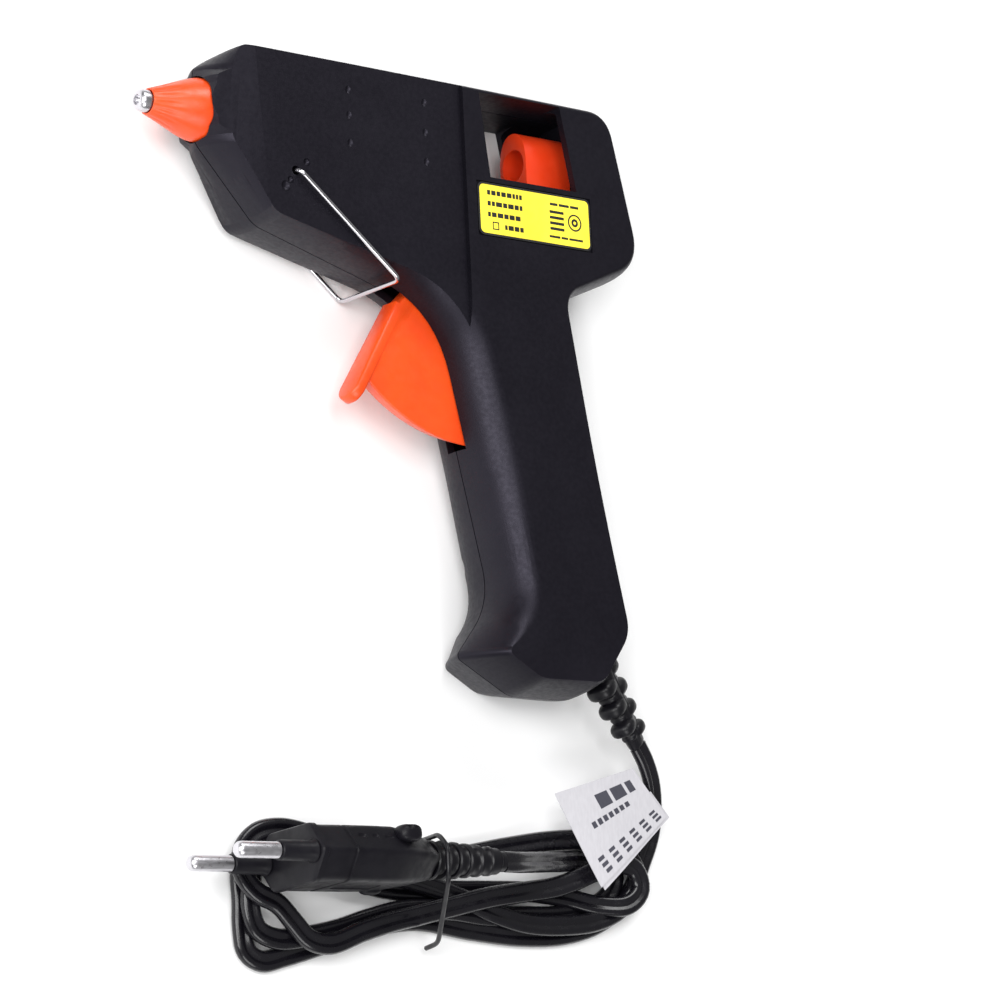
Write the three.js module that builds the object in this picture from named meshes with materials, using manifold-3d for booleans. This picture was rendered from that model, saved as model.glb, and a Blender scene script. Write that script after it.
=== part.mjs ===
// Mini hot-melt glue gun for 7.5 mm sticks, lying on its right side with its cord folded into a hank.
// Millimetres, +Z up. The nozzle points to -X, the barrel's top faces +Y and the left flank faces +Z.
// The origin is the middle of the gun's footprint (the cord left out), on the surface it lies on.

import * as THREE from "three";
import { mergeVertices } from "three/addons/utils/BufferGeometryUtils.js";
import Module from "manifold-3d";

const wasm = await Module();
wasm.setup();

// ---------------------------------------------------------------- driving dimensions

const GAP = 0.3; // clearance between neighbouring pieces
const WALL = 2; // casing wall
const HALF = 13.5; // half of the casing's thickness, and the height of the parting plane
const AXIS_Y = 62.8; // height of the glue stick's axis above the origin
const STICK_RADIUS = 3.75;

const STEP_X = 16.8; // where the thinner barrel section starts
const STEP_HALF = 12; // half thickness of the barrel at the step
const NOSE_HALF = 10.7; // and at the nose
const NOSE_X = -57.5;

const TRIGGER_PIVOT = [24, 32];
const TRIGGER_ARM = 16.5; // from the pivot up to the pusher's pin
const TRIGGER_SWEEP = 47.4; // radius of the trigger's lower edge about its pivot
const WEB_HALF = 3.2;
const PIN_RADIUS = 1.5;

const STAND_PIVOT = [-35.2, 47.6];
const STAND_KNEE = [-5.4, 23];
const WIRE_RADIUS = 0.9;

const SCREW_PLACES = [[-22, 43.5], [61.5, 48], [31, -43], [37, -69.5]];
const CORD_RADIUS = 2; // the flat two-core cord is 5.4 x 2.7; its plain stand-in is round
const HANK_HEIGHT = 8.2;

const COLOURS = {
  casing: 0x1b1b1f,
  orange: 0xf2541b,
  steel: 0xc9ccd0,
  aluminium: 0xb4b7bb,
  brass: 0xc9a24a,
  ceramic: 0x5a5a60,
  silicone: 0xc96a4a,
  label: 0xf4e23c,
  cord: 0x101012,
  paper: 0xf4f4f2,
  blueWire: 0x2a55a8,
  brownWire: 0x6b3a1e,
};

const group = new THREE.Group();

// ---------------------------------------------------------------- solids

// Turns a closed geometry into a manifold, for joining and cutting.
function solid(geometry) {
  const bare = geometry.index ? geometry.toNonIndexed() : geometry.clone();
  bare.deleteAttribute("normal");
  bare.deleteAttribute("uv");
  const merged = mergeVertices(bare, 1e-4);
  return new wasm.Manifold(
    new wasm.Mesh({
      numProp: 3,
      vertProperties: new Float32Array(merged.attributes.position.array),
      triVerts: new Uint32Array(merged.index.array),
    })
  );
}

function geometryOf(body) {
  const mesh = body.getMesh();
  const geometry = new THREE.BufferGeometry();
  geometry.setAttribute("position", new THREE.BufferAttribute(mesh.vertProperties, 3));
  geometry.setIndex(new THREE.BufferAttribute(mesh.triVerts, 1));
  geometry.computeVertexNormals();
  return geometry;
}

function add(name, geometry, colour, roughness, metalness) {
  const material = new THREE.MeshStandardMaterial({ color: COLOURS[colour], roughness, metalness });
  const mesh = new THREE.Mesh(geometry, material);
  mesh.name = name;
  group.add(mesh);
  return mesh;
}

function box(low, high) {
  const size = high.map((value, i) => value - low[i]);
  const geometry = new THREE.BoxGeometry(...size);
  return geometry.translate(...high.map((value, i) => (value + low[i]) / 2));
}

// A prism: a closed outline in the XY plane, between two heights.
function prism(points, low, high) {
  const shape = new THREE.Shape(points.map(([x, y]) => new THREE.Vector2(x, y)));
  return extrude(shape, low, high);
}

function extrude(shape, low, high, curveSegments = 8) {
  const options = { depth: high - low, bevelEnabled: false, curveSegments };
  return new THREE.ExtrudeGeometry(shape, options).translate(0, 0, low);
}

// A cylinder along Z.
function post(x, y, radius, low, high, sides = 24) {
  const geometry = new THREE.CylinderGeometry(radius, radius, high - low, sides);
  return geometry.rotateX(Math.PI / 2).translate(x, y, (low + high) / 2);
}

// A turned piece about the stick's axis. The profile is a list of [radius, x], which starts and ends
// on the axis, or else closes on itself.
function turned(profile, sides = 32, height = AXIS_Y, level = HALF) {
  const closed = profile[0][0] === 0 ? [...profile] : [...profile, profile[0]];
  const points = closed.reverse().map(([r, x]) => new THREE.Vector2(r, -x));
  const geometry = new THREE.LatheGeometry(points, sides);
  return geometry.rotateZ(Math.PI / 2).translate(0, height, level);
}

// A round bar along X about the stick's axis.
function bar(radius, from, to, sides = 32, height = AXIS_Y, level = HALF) {
  const geometry = new THREE.CylinderGeometry(radius, radius, to - from, sides);
  return geometry.rotateZ(Math.PI / 2).translate((from + to) / 2, height, level);
}

// A tube of round section along a path of [x, y, z] points.
function tube(points, radius, sides, steps, curve) {
  const path = curve ?? new THREE.CatmullRomCurve3(points.map((p) => new THREE.Vector3(...p)));
  const section = new THREE.Shape();
  for (let i = 0; i < sides; i += 1) {
    const angle = (2 * Math.PI * i) / sides;
    const corner = [radius * Math.cos(angle), radius * Math.sin(angle)];
    if (i === 0) section.moveTo(...corner);
    else section.lineTo(...corner);
  }
  return new THREE.ExtrudeGeometry(section, { steps, extrudePath: path, bevelEnabled: false });
}

// Straight runs joined by rounded corners.
function bentPath(points, corner) {
  const path = new THREE.CurvePath();
  const at = points.map((p) => new THREE.Vector3(...p));
  let from = at[0];
  for (let i = 1; i < at.length - 1; i += 1) {
    const before = at[i].clone().add(at[i - 1].clone().sub(at[i]).setLength(corner));
    const after = at[i].clone().add(at[i + 1].clone().sub(at[i]).setLength(corner));
    path.add(new THREE.LineCurve3(from, before));
    path.add(new THREE.QuadraticBezierCurve3(before, at[i], after));
    from = after;
  }
  path.add(new THREE.LineCurve3(from, at[at.length - 1]));
  return path;
}

// ---------------------------------------------------------------- casing form

// Corners of the side outline, counterclockwise from the nose. `rim` is the corner on the parting
// plane and `flank` the one on the flat flank; each is rounded over `cut`. `crown` is the exponent of
// the rounding between them: 1 is a flat chamfer, 2 an ellipse, more is squarer.
const CASE_CORNERS = [
  { rim: [-57.5, 54.0], flank: [-46.2, 53.8], cut: 1.2, crown: 1.3 },
  { rim: [-40.9, 35.5], flank: [-43.6, 38.0], cut: 2.2, crown: 2.4 },
  { rim: [11.8, 19.9], flank: [19.0, 25.0], cut: 9, crown: 2 },
  { rim: [19.4, -14.0], flank: [29.4, -14.0], cut: 10, crown: 2 },
  { rim: [28.6, -54.5], flank: [36.0, -59.0], cut: 9, crown: 2 },
  { rim: [16.6, -69.4], flank: [23.0, -69.6], cut: 2.2, crown: 1.2 },
  { rim: [33.1, -78.5], flank: [33.6, -75.8], cut: 2.2, crown: 1.2 },
  { rim: [54.0, -78.5], flank: [54.0, -75.6], cut: 3, crown: 1.4 },
  { rim: [65.3, -62.0], flank: [63.2, -62.2], cut: 4, crown: 2 },
  { rim: [57.4, -24.0], flank: [55.4, -24.0], cut: 22, crown: 2 },
  { rim: [49.5, 24.4], flank: [47.3, 26.4], cut: 6, crown: 2 },
  { rim: [76.1, 36.0], flank: [73.2, 38.4], cut: 8, crown: 2.2 },
  { rim: [66.8, 78.5], flank: [64.8, 75.9], cut: 6.5, crown: 2.2 },
  { rim: [-49.4, 78.5], flank: [-48.6, 77.2], cut: 1.2, crown: 3 },
  { rim: [-57.5, 73.4], flank: [-47.0, 71.8], cut: 1, crown: 1.1 },
  { rim: [-58.2, 69.0], flank: [-47.2, 68.0], cut: 1, crown: 2.2 },
  { rim: [-58.4, 63.4], flank: [-47.2, 63.0], cut: 1, crown: 3.6 },
  { rim: [-58.2, 58.0], flank: [-46.8, 58.0], cut: 1, crown: 2.4 },
];
const CORNER_POINTS = 4;
const CROWN_RINGS = 5;

// Moves each corner of a polygon inwards by the same wall thickness.
function insetCorners(corners, wall) {
  const count = corners.length;
  const inward = (a, b) => {
    const along = new THREE.Vector2(b[0] - a[0], b[1] - a[1]).normalize();
    return new THREE.Vector2(-along.y, along.x);
  };
  return corners.map((corner, i) => {
    const before = inward(corners[(i + count - 1) % count], corner);
    const after = inward(corner, corners[(i + 1) % count]);
    const middle = before.clone().add(after).normalize();
    const reach = wall / middle.dot(after);
    return [corner[0] + middle.x * reach, corner[1] + middle.y * reach];
  });
}

// One closed ring of points with its corners rounded, and each point's crown exponent.
function roundedRing(corners, cuts) {
  const ring = [];
  corners.forEach((corner, i) => {
    const here = new THREE.Vector2(...corner);
    const before = new THREE.Vector2(...corners[(i + corners.length - 1) % corners.length]);
    const after = new THREE.Vector2(...corners[(i + 1) % corners.length]);
    const start = here.clone().add(before.sub(here).setLength(cuts[i]));
    const end = here.clone().add(after.sub(here).setLength(cuts[i]));
    const curve = new THREE.QuadraticBezierCurve(start, here, end);
    ring.push(...curve.getPoints(CORNER_POINTS - 1));
  });
  return ring;
}

// Half of the casing's form, from the level `low` above the parting plane to the flank at `high`.
function caseHalf(inset, low, high) {
  const cuts = CASE_CORNERS.map((corner) => Math.max(corner.cut - inset * 0.4, 0.8));
  const rim = roundedRing(insetCorners(CASE_CORNERS.map((c) => c.rim), inset), cuts);
  const flank = roundedRing(insetCorners(CASE_CORNERS.map((c) => c.flank), inset * 0.8), cuts);
  const count = rim.length;
  const positions = [];
  for (let k = 0; k <= CROWN_RINGS; k += 1) {
    const turn = (Math.PI / 2) * (k / CROWN_RINGS);
    for (let i = 0; i < count; i += 1) {
      const crown = CASE_CORNERS[Math.floor(i / CORNER_POINTS)].crown;
      const across = k === CROWN_RINGS ? 1 : 1 - Math.cos(turn) ** (2 / crown);
      const up = Math.sin(turn) ** (2 / crown);
      const x = rim[i].x + (flank[i].x - rim[i].x) * across;
      const y = rim[i].y + (flank[i].y - rim[i].y) * across;
      positions.push(x, y, low + (high - low) * up);
    }
  }
  const index = [];
  for (let k = 0; k < CROWN_RINGS; k += 1) {
    for (let i = 0; i < count; i += 1) {
      const a = k * count + i;
      const b = k * count + ((i + 1) % count);
      index.push(a, b, b + count, a, b + count, a + count);
    }
  }
  const cap = (ring, offset, flip) => {
    THREE.ShapeUtils.triangulateShape(ring, []).forEach(([a, b, c]) => {
      index.push(offset + a, offset + (flip ? c : b), offset + (flip ? b : c));
    });
  };
  cap(rim, 0, true);
  cap(flank, CROWN_RINGS * count, false);
  const geometry = new THREE.BufferGeometry();
  geometry.setAttribute("position", new THREE.Float32BufferAttribute(positions, 3));
  geometry.setIndex(index);
  return geometry;
}

// The space above the barrel's thinner flank, lowered by `wall` when it bounds the hollow inside.
function barrelRelief(wall) {
  const end = NOSE_X - 5;
  const slope = (STEP_HALF - NOSE_HALF) / (STEP_X - NOSE_X);
  const outline = [
    [STEP_X + wall, STEP_HALF - wall + slope * wall],
    [STEP_X + wall, HALF + 2],
    [end, HALF + 2],
    [end, NOSE_HALF - wall - slope * 5],
  ];
  const geometry = prism(outline, 0, 80);
  return geometry.rotateX(Math.PI / 2).translate(0, 91, 0);
}

const WINDOW = [[24.7, 53.8], [53.3, 53.8], [48.9, 76.2], [22.1, 76.2]];
const TRIGGER_SLOT = [[-3.6, 34], [-3.6, 12], [10, -16.1], [34, -16.1], [34, 34]];

// A wall inside the casing, across the barrel, with a round seat for what it holds.
function rib(x, thickness, bottom, top, seat) {
  const plate = solid(box([x, bottom, -1], [x + thickness, top, HALF]));
  if (!seat) return plate;
  return plate.subtract(solid(bar(seat, x - 1, x + thickness + 1, 24, AXIS_Y, 0)));
}

// One half of the casing about its parting plane, flank upwards.
function casingHalf(isLeft) {
  const outer = solid(caseHalf(0, GAP / 2, HALF)).subtract(solid(barrelRelief(0)));
  const hollow = solid(caseHalf(WALL, -1, HALF - WALL)).subtract(solid(barrelRelief(WALL)));
  let inside = rib(-49.5, 1.6, 30, 80, 7);
  inside = inside.add(rib(-21, 1.6, 30, 80, 7));
  inside = inside.add(rib(5, 1.6, 54, 80, 6.4));
  inside = inside.add(rib(19.6, 1.6, 53, 80, 4.8));
  inside = inside.add(rib(-9, 1.6, 46.2, 55.5, 0));
  inside = inside.add(rib(60, 1.6, 40, 80, 4.8));
  inside = inside.add(solid(box([29, 51.3, 6.3], [58, 52.6, HALF])));
  inside = inside.add(solid(box([30, -32, 8], [58, -30.4, HALF])));
  inside = inside.add(solid(post(...TRIGGER_PIVOT, 4, WEB_HALF + 0.6, HALF)));
  inside = inside.add(solid(post(...STAND_PIVOT, 2.8, 5, HALF, 16)));
  for (const [x, y] of SCREW_PLACES) {
    inside = inside.add(solid(post(x, y, isLeft ? 3.2 : 4.2, 0.15, HALF, 20)));
  }
  const trimmed = inside.intersect(outer);
  let half = outer.subtract(hollow).add(trimmed);
  half = half.subtract(solid(bar(8.35, -62, -50.5, 40, AXIS_Y, 0)));
  half = half.subtract(solid(bar(4.6, 58, 80, 24, AXIS_Y, 0)));
  half = half.subtract(solid(prism(WINDOW, -2, HALF + 2)));
  half = half.subtract(solid(prism(TRIGGER_SLOT, -2, WEB_HALF + 0.5)));
  half = half.subtract(solid(post(...TRIGGER_PIVOT, PIN_RADIUS + GAP, -1, HALF - WALL)));
  half = half.subtract(solid(post(...STAND_PIVOT, WIRE_RADIUS + GAP, -1, HALF + 1, 16)));
  const reliefHole = solid(reliefPost(4.5, -2, 20)).add(solid(reliefPost(5.3, 0, 4.9)));
  const placed = reliefHole.translate([0, 0, -HALF]);
  half = half.subtract(isLeft ? placed : placed.mirror([0, 0, 1]));
  for (const [x, y] of SCREW_PLACES) {
    half = half.subtract(solid(post(x, y, 1.3 + GAP, -1, isLeft ? 5 : HALF + 1, 16)));
    if (!isLeft) half = half.subtract(solid(post(x, y, 2.9, HALF - 3.4, HALF + 1, 20)));
  }
  return half;
}

// ---------------------------------------------------------------- strain relief's line

const RELIEF_START = new THREE.Vector3(57.5, -61, HALF);
const RELIEF_END = new THREE.Vector3(79, -88, 9.2);
const RELIEF_LENGTH = RELIEF_START.distanceTo(RELIEF_END);
const RELIEF_TURN = new THREE.Quaternion().setFromUnitVectors(
  new THREE.Vector3(0, 1, 0),
  RELIEF_END.clone().sub(RELIEF_START).normalize()
);

// Puts a piece made along +Y from the origin onto the strain relief's line.
function onRelief(geometry) {
  return geometry.applyQuaternion(RELIEF_TURN).translate(...RELIEF_START.toArray());
}

function reliefPost(radius, from, to) {
  return onRelief(new THREE.CylinderGeometry(radius, radius, to - from, 20).translate(0, (from + to) / 2, 0));
}

// ---------------------------------------------------------------- casing shells and screws

function buildCasing() {
  const labelSeat = solid(box([19.9, 37.9, HALF - 0.5], [57.7, 52.5, HALF + 1]));
  const left = geometryOf(casingHalf(true).subtract(labelSeat));
  add("left_shell", left.translate(0, 0, HALF), "casing", 0.5, 0);
  const right = geometryOf(casingHalf(false).mirror([0, 0, 1]));
  add("right_shell", right.translate(0, 0, HALF), "casing", 0.5, 0);
  SCREW_PLACES.forEach(([x, y], i) => {
    const head = solid(post(x, y, 2.5, 0.9, 3.1, 18));
    const cross = solid(box([x - 1.5, y - 0.3, 0], [x + 1.5, y + 0.3, 1.7]));
    const shank = solid(post(x, y, 1.3, 3, 17.9, 12));
    add(`casing_screw_${i + 1}`, geometryOf(head.subtract(cross).add(shank)), "steel", 0.35, 0.9);
  });
}

function buildLabel() {
  const shape = new THREE.Shape();
  const [left, bottom, right, top, corner] = [20.2, 38.2, 57.4, 52.2, 1.6];
  shape.moveTo(left + corner, bottom);
  shape.lineTo(right - corner, bottom);
  shape.quadraticCurveTo(right, bottom, right, bottom + corner);
  shape.lineTo(right, top - corner);
  shape.quadraticCurveTo(right, top, right - corner, top);
  shape.lineTo(left + corner, top);
  shape.quadraticCurveTo(left, top, left, top - corner);
  shape.lineTo(left, bottom + corner);
  shape.quadraticCurveTo(left, bottom, left + corner, bottom);
  add("rating_label", extrude(shape, 26.8, 27.1, 4), "label", 0.4, 0);
}

// ---------------------------------------------------------------- nozzle and heater

function buildNozzle() {
  const sleeve = [
    [2.9, -71.4], [3.3, -71.4], [3.5, -70.8], [4.7, -67.2], [6.1, -63.5], [7.3, -60],
    [7.8, -58.4], [8, -57], [8, -54.8], [3.8, -54.8], [3.8, -66.4], [2.9, -68.6],
  ];
  add("nozzle_sleeve", turned(sleeve, 36), "orange", 0.45, 0);
  const tip = [
    [0.9, -74.5], [1.9, -74.5], [2.3, -74], [2.5, -71.8], [2.5, -68.8], [3.4, -66], [3.4, -50.3],
    [0.9, -50.3],
  ];
  add("nozzle_tip", turned(tip, 28), "steel", 0.3, 0.95);
  const chamber = [
    [3.75, -54.4], [5.6, -54.4], [6.6, -53.4], [6.6, -14], [4.3, -14], [4, -24], [2, -48], [2, -49.9],
    [3.75, -49.9],
  ];
  const seat = solid(box([-42, 52.4, HALF - 5], [-22, 58, HALF + 5]));
  const slot = solid(box([-43, 53.4, HALF - 4.1], [-21, 56, HALF + 4.1]));
  const bore = solid(bar(4.3, -43, -21, 24));
  const body = solid(turned(chamber, 32)).add(seat.subtract(bore)).subtract(slot);
  add("melt_chamber", geometryOf(body), "aluminium", 0.45, 0.9);
  add("ptc_heater", box([-40, 54, HALF - 3.6], [-24, 55.4, HALF + 3.6]), "ceramic", 0.7, 0);
  add("heater_contact_live", box([-41, 55.6, HALF - 3.4], [-21.6, 55.8, HALF + 3.4]), "brass", 0.4, 0.9);
  add("heater_contact_neutral", box([-41, 53.6, HALF - 3.4], [-21.6, 53.8, HALF + 3.4]), "brass", 0.4, 0.9);
  const clipOuter = solid(box([-37, 51.2, HALF - 6.2], [-27, 56, HALF + 6.2]));
  const clipInner = solid(box([-38, 52, HALF - 5.4], [-26, 57, HALF + 5.4]));
  add("heater_clip", geometryOf(clipOuter.subtract(clipInner)), "steel", 0.35, 0.9);
}

function buildInlet() {
  const sleeve = [[4.2, -13.7], [6, -13.7], [6, 9], [6.6, 10], [5, 10], [4.2, 7]];
  add("inlet_sleeve", turned(sleeve, 28), "silicone", 0.6, 0);
  const ring = [[6.3, -12], [7.1, -12], [7.1, -9.4], [6.3, -9.4]];
  add("sleeve_clamp", turned(ring, 24), "steel", 0.35, 0.9);
}

// ---------------------------------------------------------------- trigger and pusher

const PUSHER_REAR = 54.5;
const PUSHER_RING = 45;

function buildPusher() {
  const arch = solid(bar(8.8, PUSHER_RING, PUSHER_REAR, 32));
  const sides = solid(box([PUSHER_RING, 55, HALF - 8.8], [PUSHER_REAR, AXIS_Y, HALF + 8.8]));
  const neck = solid(box([PUSHER_RING, 46, HALF - 5.2], [PUSHER_REAR, 56, HALF + 5.2]));
  const runner = solid(box([15.8, 46, HALF - 5.2], [PUSHER_REAR, 51, HALF + 5.2]));
  const armSlot = solid(box([18.8, 45, HALF - 3.5], [PUSHER_RING, 52, HALF + 3.5]));
  const bore = solid(bar(STICK_RADIUS + 0.6, PUSHER_RING - 1, PUSHER_REAR + 1, 28));
  const pinHole = solid(post(TRIGGER_PIVOT[0], TRIGGER_PIVOT[1] + TRIGGER_ARM, 1.55, 0, 27, 16));
  const body = arch.add(sides).add(neck).add(runner).subtract(armSlot).subtract(bore).subtract(pinHole);
  add("pusher_carriage", geometryOf(body), "orange", 0.45, 0);
  const pin = post(TRIGGER_PIVOT[0], TRIGGER_PIVOT[1] + TRIGGER_ARM, 1.25, HALF - 5.2, HALF + 5.2, 16);
  add("pusher_pin", pin, "steel", 0.3, 0.95);
}

const PAD_TOP = [0.4, 20.5];
const PAD_BOTTOM = [-15.4, -5.7];
const PAD_THICKNESS = 3;

// The finger pad: wider and rounded at its lower end.
function fingerPad() {
  const run = new THREE.Vector2(PAD_BOTTOM[0] - PAD_TOP[0], PAD_BOTTOM[1] - PAD_TOP[1]);
  const length = run.length();
  const shape = new THREE.Shape();
  const [narrow, wide] = [WEB_HALF, 4.2];
  shape.moveTo(0, -narrow);
  shape.lineTo(length - 3, -wide);
  shape.quadraticCurveTo(length, -wide, length, 0);
  shape.quadraticCurveTo(length, wide, length - 3, wide);
  shape.lineTo(0, narrow);
  const pad = extrude(shape, 0, PAD_THICKNESS, 6);
  // the pad's length runs along local X, its width along Y and its thickness along Z
  pad.rotateX(Math.PI / 2).translate(0, PAD_THICKNESS, 0);
  return pad.rotateZ(run.angle()).translate(PAD_TOP[0], PAD_TOP[1], HALF);
}

function buildTrigger() {
  const [px, py] = TRIGGER_PIVOT;
  const web = new THREE.Shape();
  web.moveTo(1.4, 20.2);
  web.lineTo(-11, -1.2);
  const start = Math.atan2(-1.6 - py, -9.6 - px);
  const end = THREE.MathUtils.degToRad(-84);
  web.absarc(px, py, TRIGGER_SWEEP, start, end, false);
  web.lineTo(30, 30);
  web.lineTo(18, 36);
  const arm = prism([[21.5, 30], [26.5, 30], [26.5, 52.2], [21.5, 52.2]], HALF - WEB_HALF, HALF + WEB_HALF);
  const fork = new THREE.Shape();
  fork.moveTo(px - 1.8, py + TRIGGER_ARM);
  fork.absarc(px, py + TRIGGER_ARM, 1.8, Math.PI, 0, false);
  fork.lineTo(px + 1.8, 55);
  fork.lineTo(px - 1.8, 55);
  const hub = solid(post(px, py, 5, HALF - WEB_HALF, HALF + WEB_HALF));
  const pinHole = solid(post(px, py, PIN_RADIUS + GAP, 0, 27, 20));
  let body = solid(extrude(web, HALF - WEB_HALF, HALF + WEB_HALF, 14));
  body = body.add(hub).add(solid(arm)).add(solid(fingerPad()));
  body = body.subtract(solid(extrude(fork, 0, 27, 6))).subtract(pinHole);
  add("trigger", geometryOf(body), "orange", 0.45, 0);
  add("trigger_pin", post(px, py, PIN_RADIUS, 2.6, 24.4, 20), "steel", 0.3, 0.95);
}

// The spring between the barrel's rib and the pusher.
function buildReturnSpring() {
  const [from, to, turns, radius] = [-6.4, 14.8, 7, 2.4];
  const level = TRIGGER_PIVOT[1] + TRIGGER_ARM;
  const points = [];
  for (let i = 0; i <= turns * 8; i += 1) {
    const angle = (2 * Math.PI * i) / 8;
    const x = from + ((to - from) * i) / (turns * 8);
    points.push([x, level + radius * Math.cos(angle), HALF + radius * Math.sin(angle)]);
  }
  add("return_spring", tube(points, 0.35, 5, turns * 12), "steel", 0.3, 0.95);
}

function buildStand() {
  const [px, py] = STAND_PIVOT;
  const [kx, ky] = STAND_KNEE;
  const [low, high] = [WIRE_RADIUS, 2 * HALF - WIRE_RADIUS];
  const path = bentPath(
    [[px, py, high - 6], [px, py, high], [kx, ky, high], [kx, ky, low], [px, py, low], [px, py, low + 6]],
    2.2
  );
  add("wire_stand", tube(null, WIRE_RADIUS, 8, 72, path), "steel", 0.25, 0.95);
}

// ---------------------------------------------------------------- wiring

function buildWiring() {
  const route = (side) => [
    [53, -53, HALF + side * 1.6],
    [49, -40, HALF + side * 4],
    [46, -20, HALF + side * 6.4],
    [43.5, 10, HALF + side * 7.6],
    [40, 32, HALF + side * 7.6],
    [26, 40.5, HALF + side * 7.6],
    [4, 41, HALF + side * 7.6],
    [-8, 44, HALF + side * 7.4],
    [-14, 49, HALF + side * 6.6],
    [-17.6, 52, HALF + side * 2.4],
  ];
  add("wire_live", tube(route(1), 0.8, 6, 44), "brownWire", 0.5, 0);
  add("wire_neutral", tube(route(-1), 0.8, 6, 44), "blueWire", 0.5, 0);
  const clamp = solid(box([43, -58.4, 4], [59, -54.6, 7.4]));
  const holes = solid(post(45.6, -56.5, 1.6, 0, 12, 14)).add(solid(post(56.4, -56.5, 1.6, 0, 12, 14)));
  add("cord_clamp", geometryOf(clamp.subtract(holes)), "casing", 0.5, 0);
  for (const [i, x] of [45.6, 56.4].entries()) {
    const head = solid(post(x, -56.5, 2.2, 7.7, 9.2, 14));
    const shank = solid(post(x, -56.5, 1.2, 2.4, 8, 10));
    add(`clamp_screw_${i + 1}`, geometryOf(head.add(shank)), "steel", 0.35, 0.9);
  }
}

// ---------------------------------------------------------------- strain relief, cord and plug

function buildRelief() {
  const core = new THREE.CylinderGeometry(2.6, 4, RELIEF_LENGTH, 12);
  core.rotateY(Math.PI / 12).rotateZ(Math.PI).translate(0, RELIEF_LENGTH / 2, 0);
  let body = solid(core);
  body = body.add(solid(new THREE.CylinderGeometry(4.9, 4.9, 2, 20).translate(0, 3.5, 0)));
  const knobs = 7;
  for (let i = 0; i < knobs; i += 1) {
    const along = 12.4 + i * 3.1;
    const side = i % 2 ? 1 : -1;
    const size = 4.1 - i * 0.14;
    const knob = new THREE.CylinderGeometry(size, size, 7.4 - i * 0.3, 14);
    knob.rotateX(Math.PI / 2).scale(1, 0.62, 1);
    body = body.add(solid(knob.translate(side * (3.1 - i * 0.12), along, 0)));
  }
  body = body.subtract(solid(new THREE.CylinderGeometry(1.4, 1.4, 6, 10).translate(0, -0.5, 0)));
  add("strain_relief", onRelief(geometryOf(body)), "cord", 0.45, 0);
}

const HANK_OUTLINE = [
  [-46, -116], [-36, -111.5], [-16, -115], [4, -118], [36, -115], [62, -111.5], [78, -111.5],
  [83, -118], [80, -129], [70, -136], [54, -140], [30, -138.6], [8, -137.4], [-16, -143],
  [-38, -148], [-45.6, -146], [-48.4, -131],
];
const LEAD_POINTS = [
  [79.2, -88.25, 9.16],
  [82.1, -92, 8.4],
  [85.4, -97, 6.6],
  [87.7, -103, 4],
  [88.2, -108.5, 2.3],
  [87.2, -113, 2.1],
  [85.2, -117.6, 2.1],
];
const TAIL_POINTS = [[23.2, -121.7, 20.6], [28, -121.7, 19.8], [34, -122.2, 17], [40, -123, 13.4], [46, -124, 10.6]];
const TAG_OUTLINE = [[48.7, -102.3], [76.2, -94.4], [87.4, -106.6], [63, -126.4], [57, -119]];

function buildCord() {
  add("cord_lead", tube(LEAD_POINTS, CORD_RADIUS, 8, 10), "cord", 0.3, 0);
  const outline = HANK_OUTLINE.map(([x, y]) => new THREE.Vector2(x, y));
  const curve = new THREE.SplineCurve([...outline, outline[0]]);
  const shape = new THREE.Shape(curve.getPoints(48).slice(0, -1));
  add("cord_hank", extrude(shape, 0, HANK_HEIGHT), "cord", 0.3, 0);
  add("cord_tail", tube(TAIL_POINTS, CORD_RADIUS, 8, 6), "cord", 0.3, 0);
  add("cord_tag", prism(TAG_OUTLINE, 10, 10.5), "paper", 0.8, 0);
  const loop = bentPath(
    [[8.4, -111.8, 0.9], [-1.6, -114.4, 30], [-1.6, -129, 30], [5.6, -140.4, 14], [9.4, -141.2, 0.9]],
    3
  );
  add("twist_tie", tube(null, 0.8, 6, 40, loop), "cord", 0.4, 0);
}

// The plug lies edgewise on the hank. Its own frame has the pins along -X and their row along Y.
const PLUG_PLACE = new THREE.Matrix4().makeTranslation(-43.4, -123.1, 22.4);
const PLUG_TURN = new THREE.Euler(
  THREE.MathUtils.degToRad(-93),
  THREE.MathUtils.degToRad(1.5),
  THREE.MathUtils.degToRad(1.2),
  "ZYX"
);
PLUG_PLACE.multiply(new THREE.Matrix4().makeRotationFromEuler(PLUG_TURN));
const PLUG_LENGTH = 66;
const PIN_SPACING = 19;

function onPlug(geometry) {
  return geometry.applyMatrix4(PLUG_PLACE);
}

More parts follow.
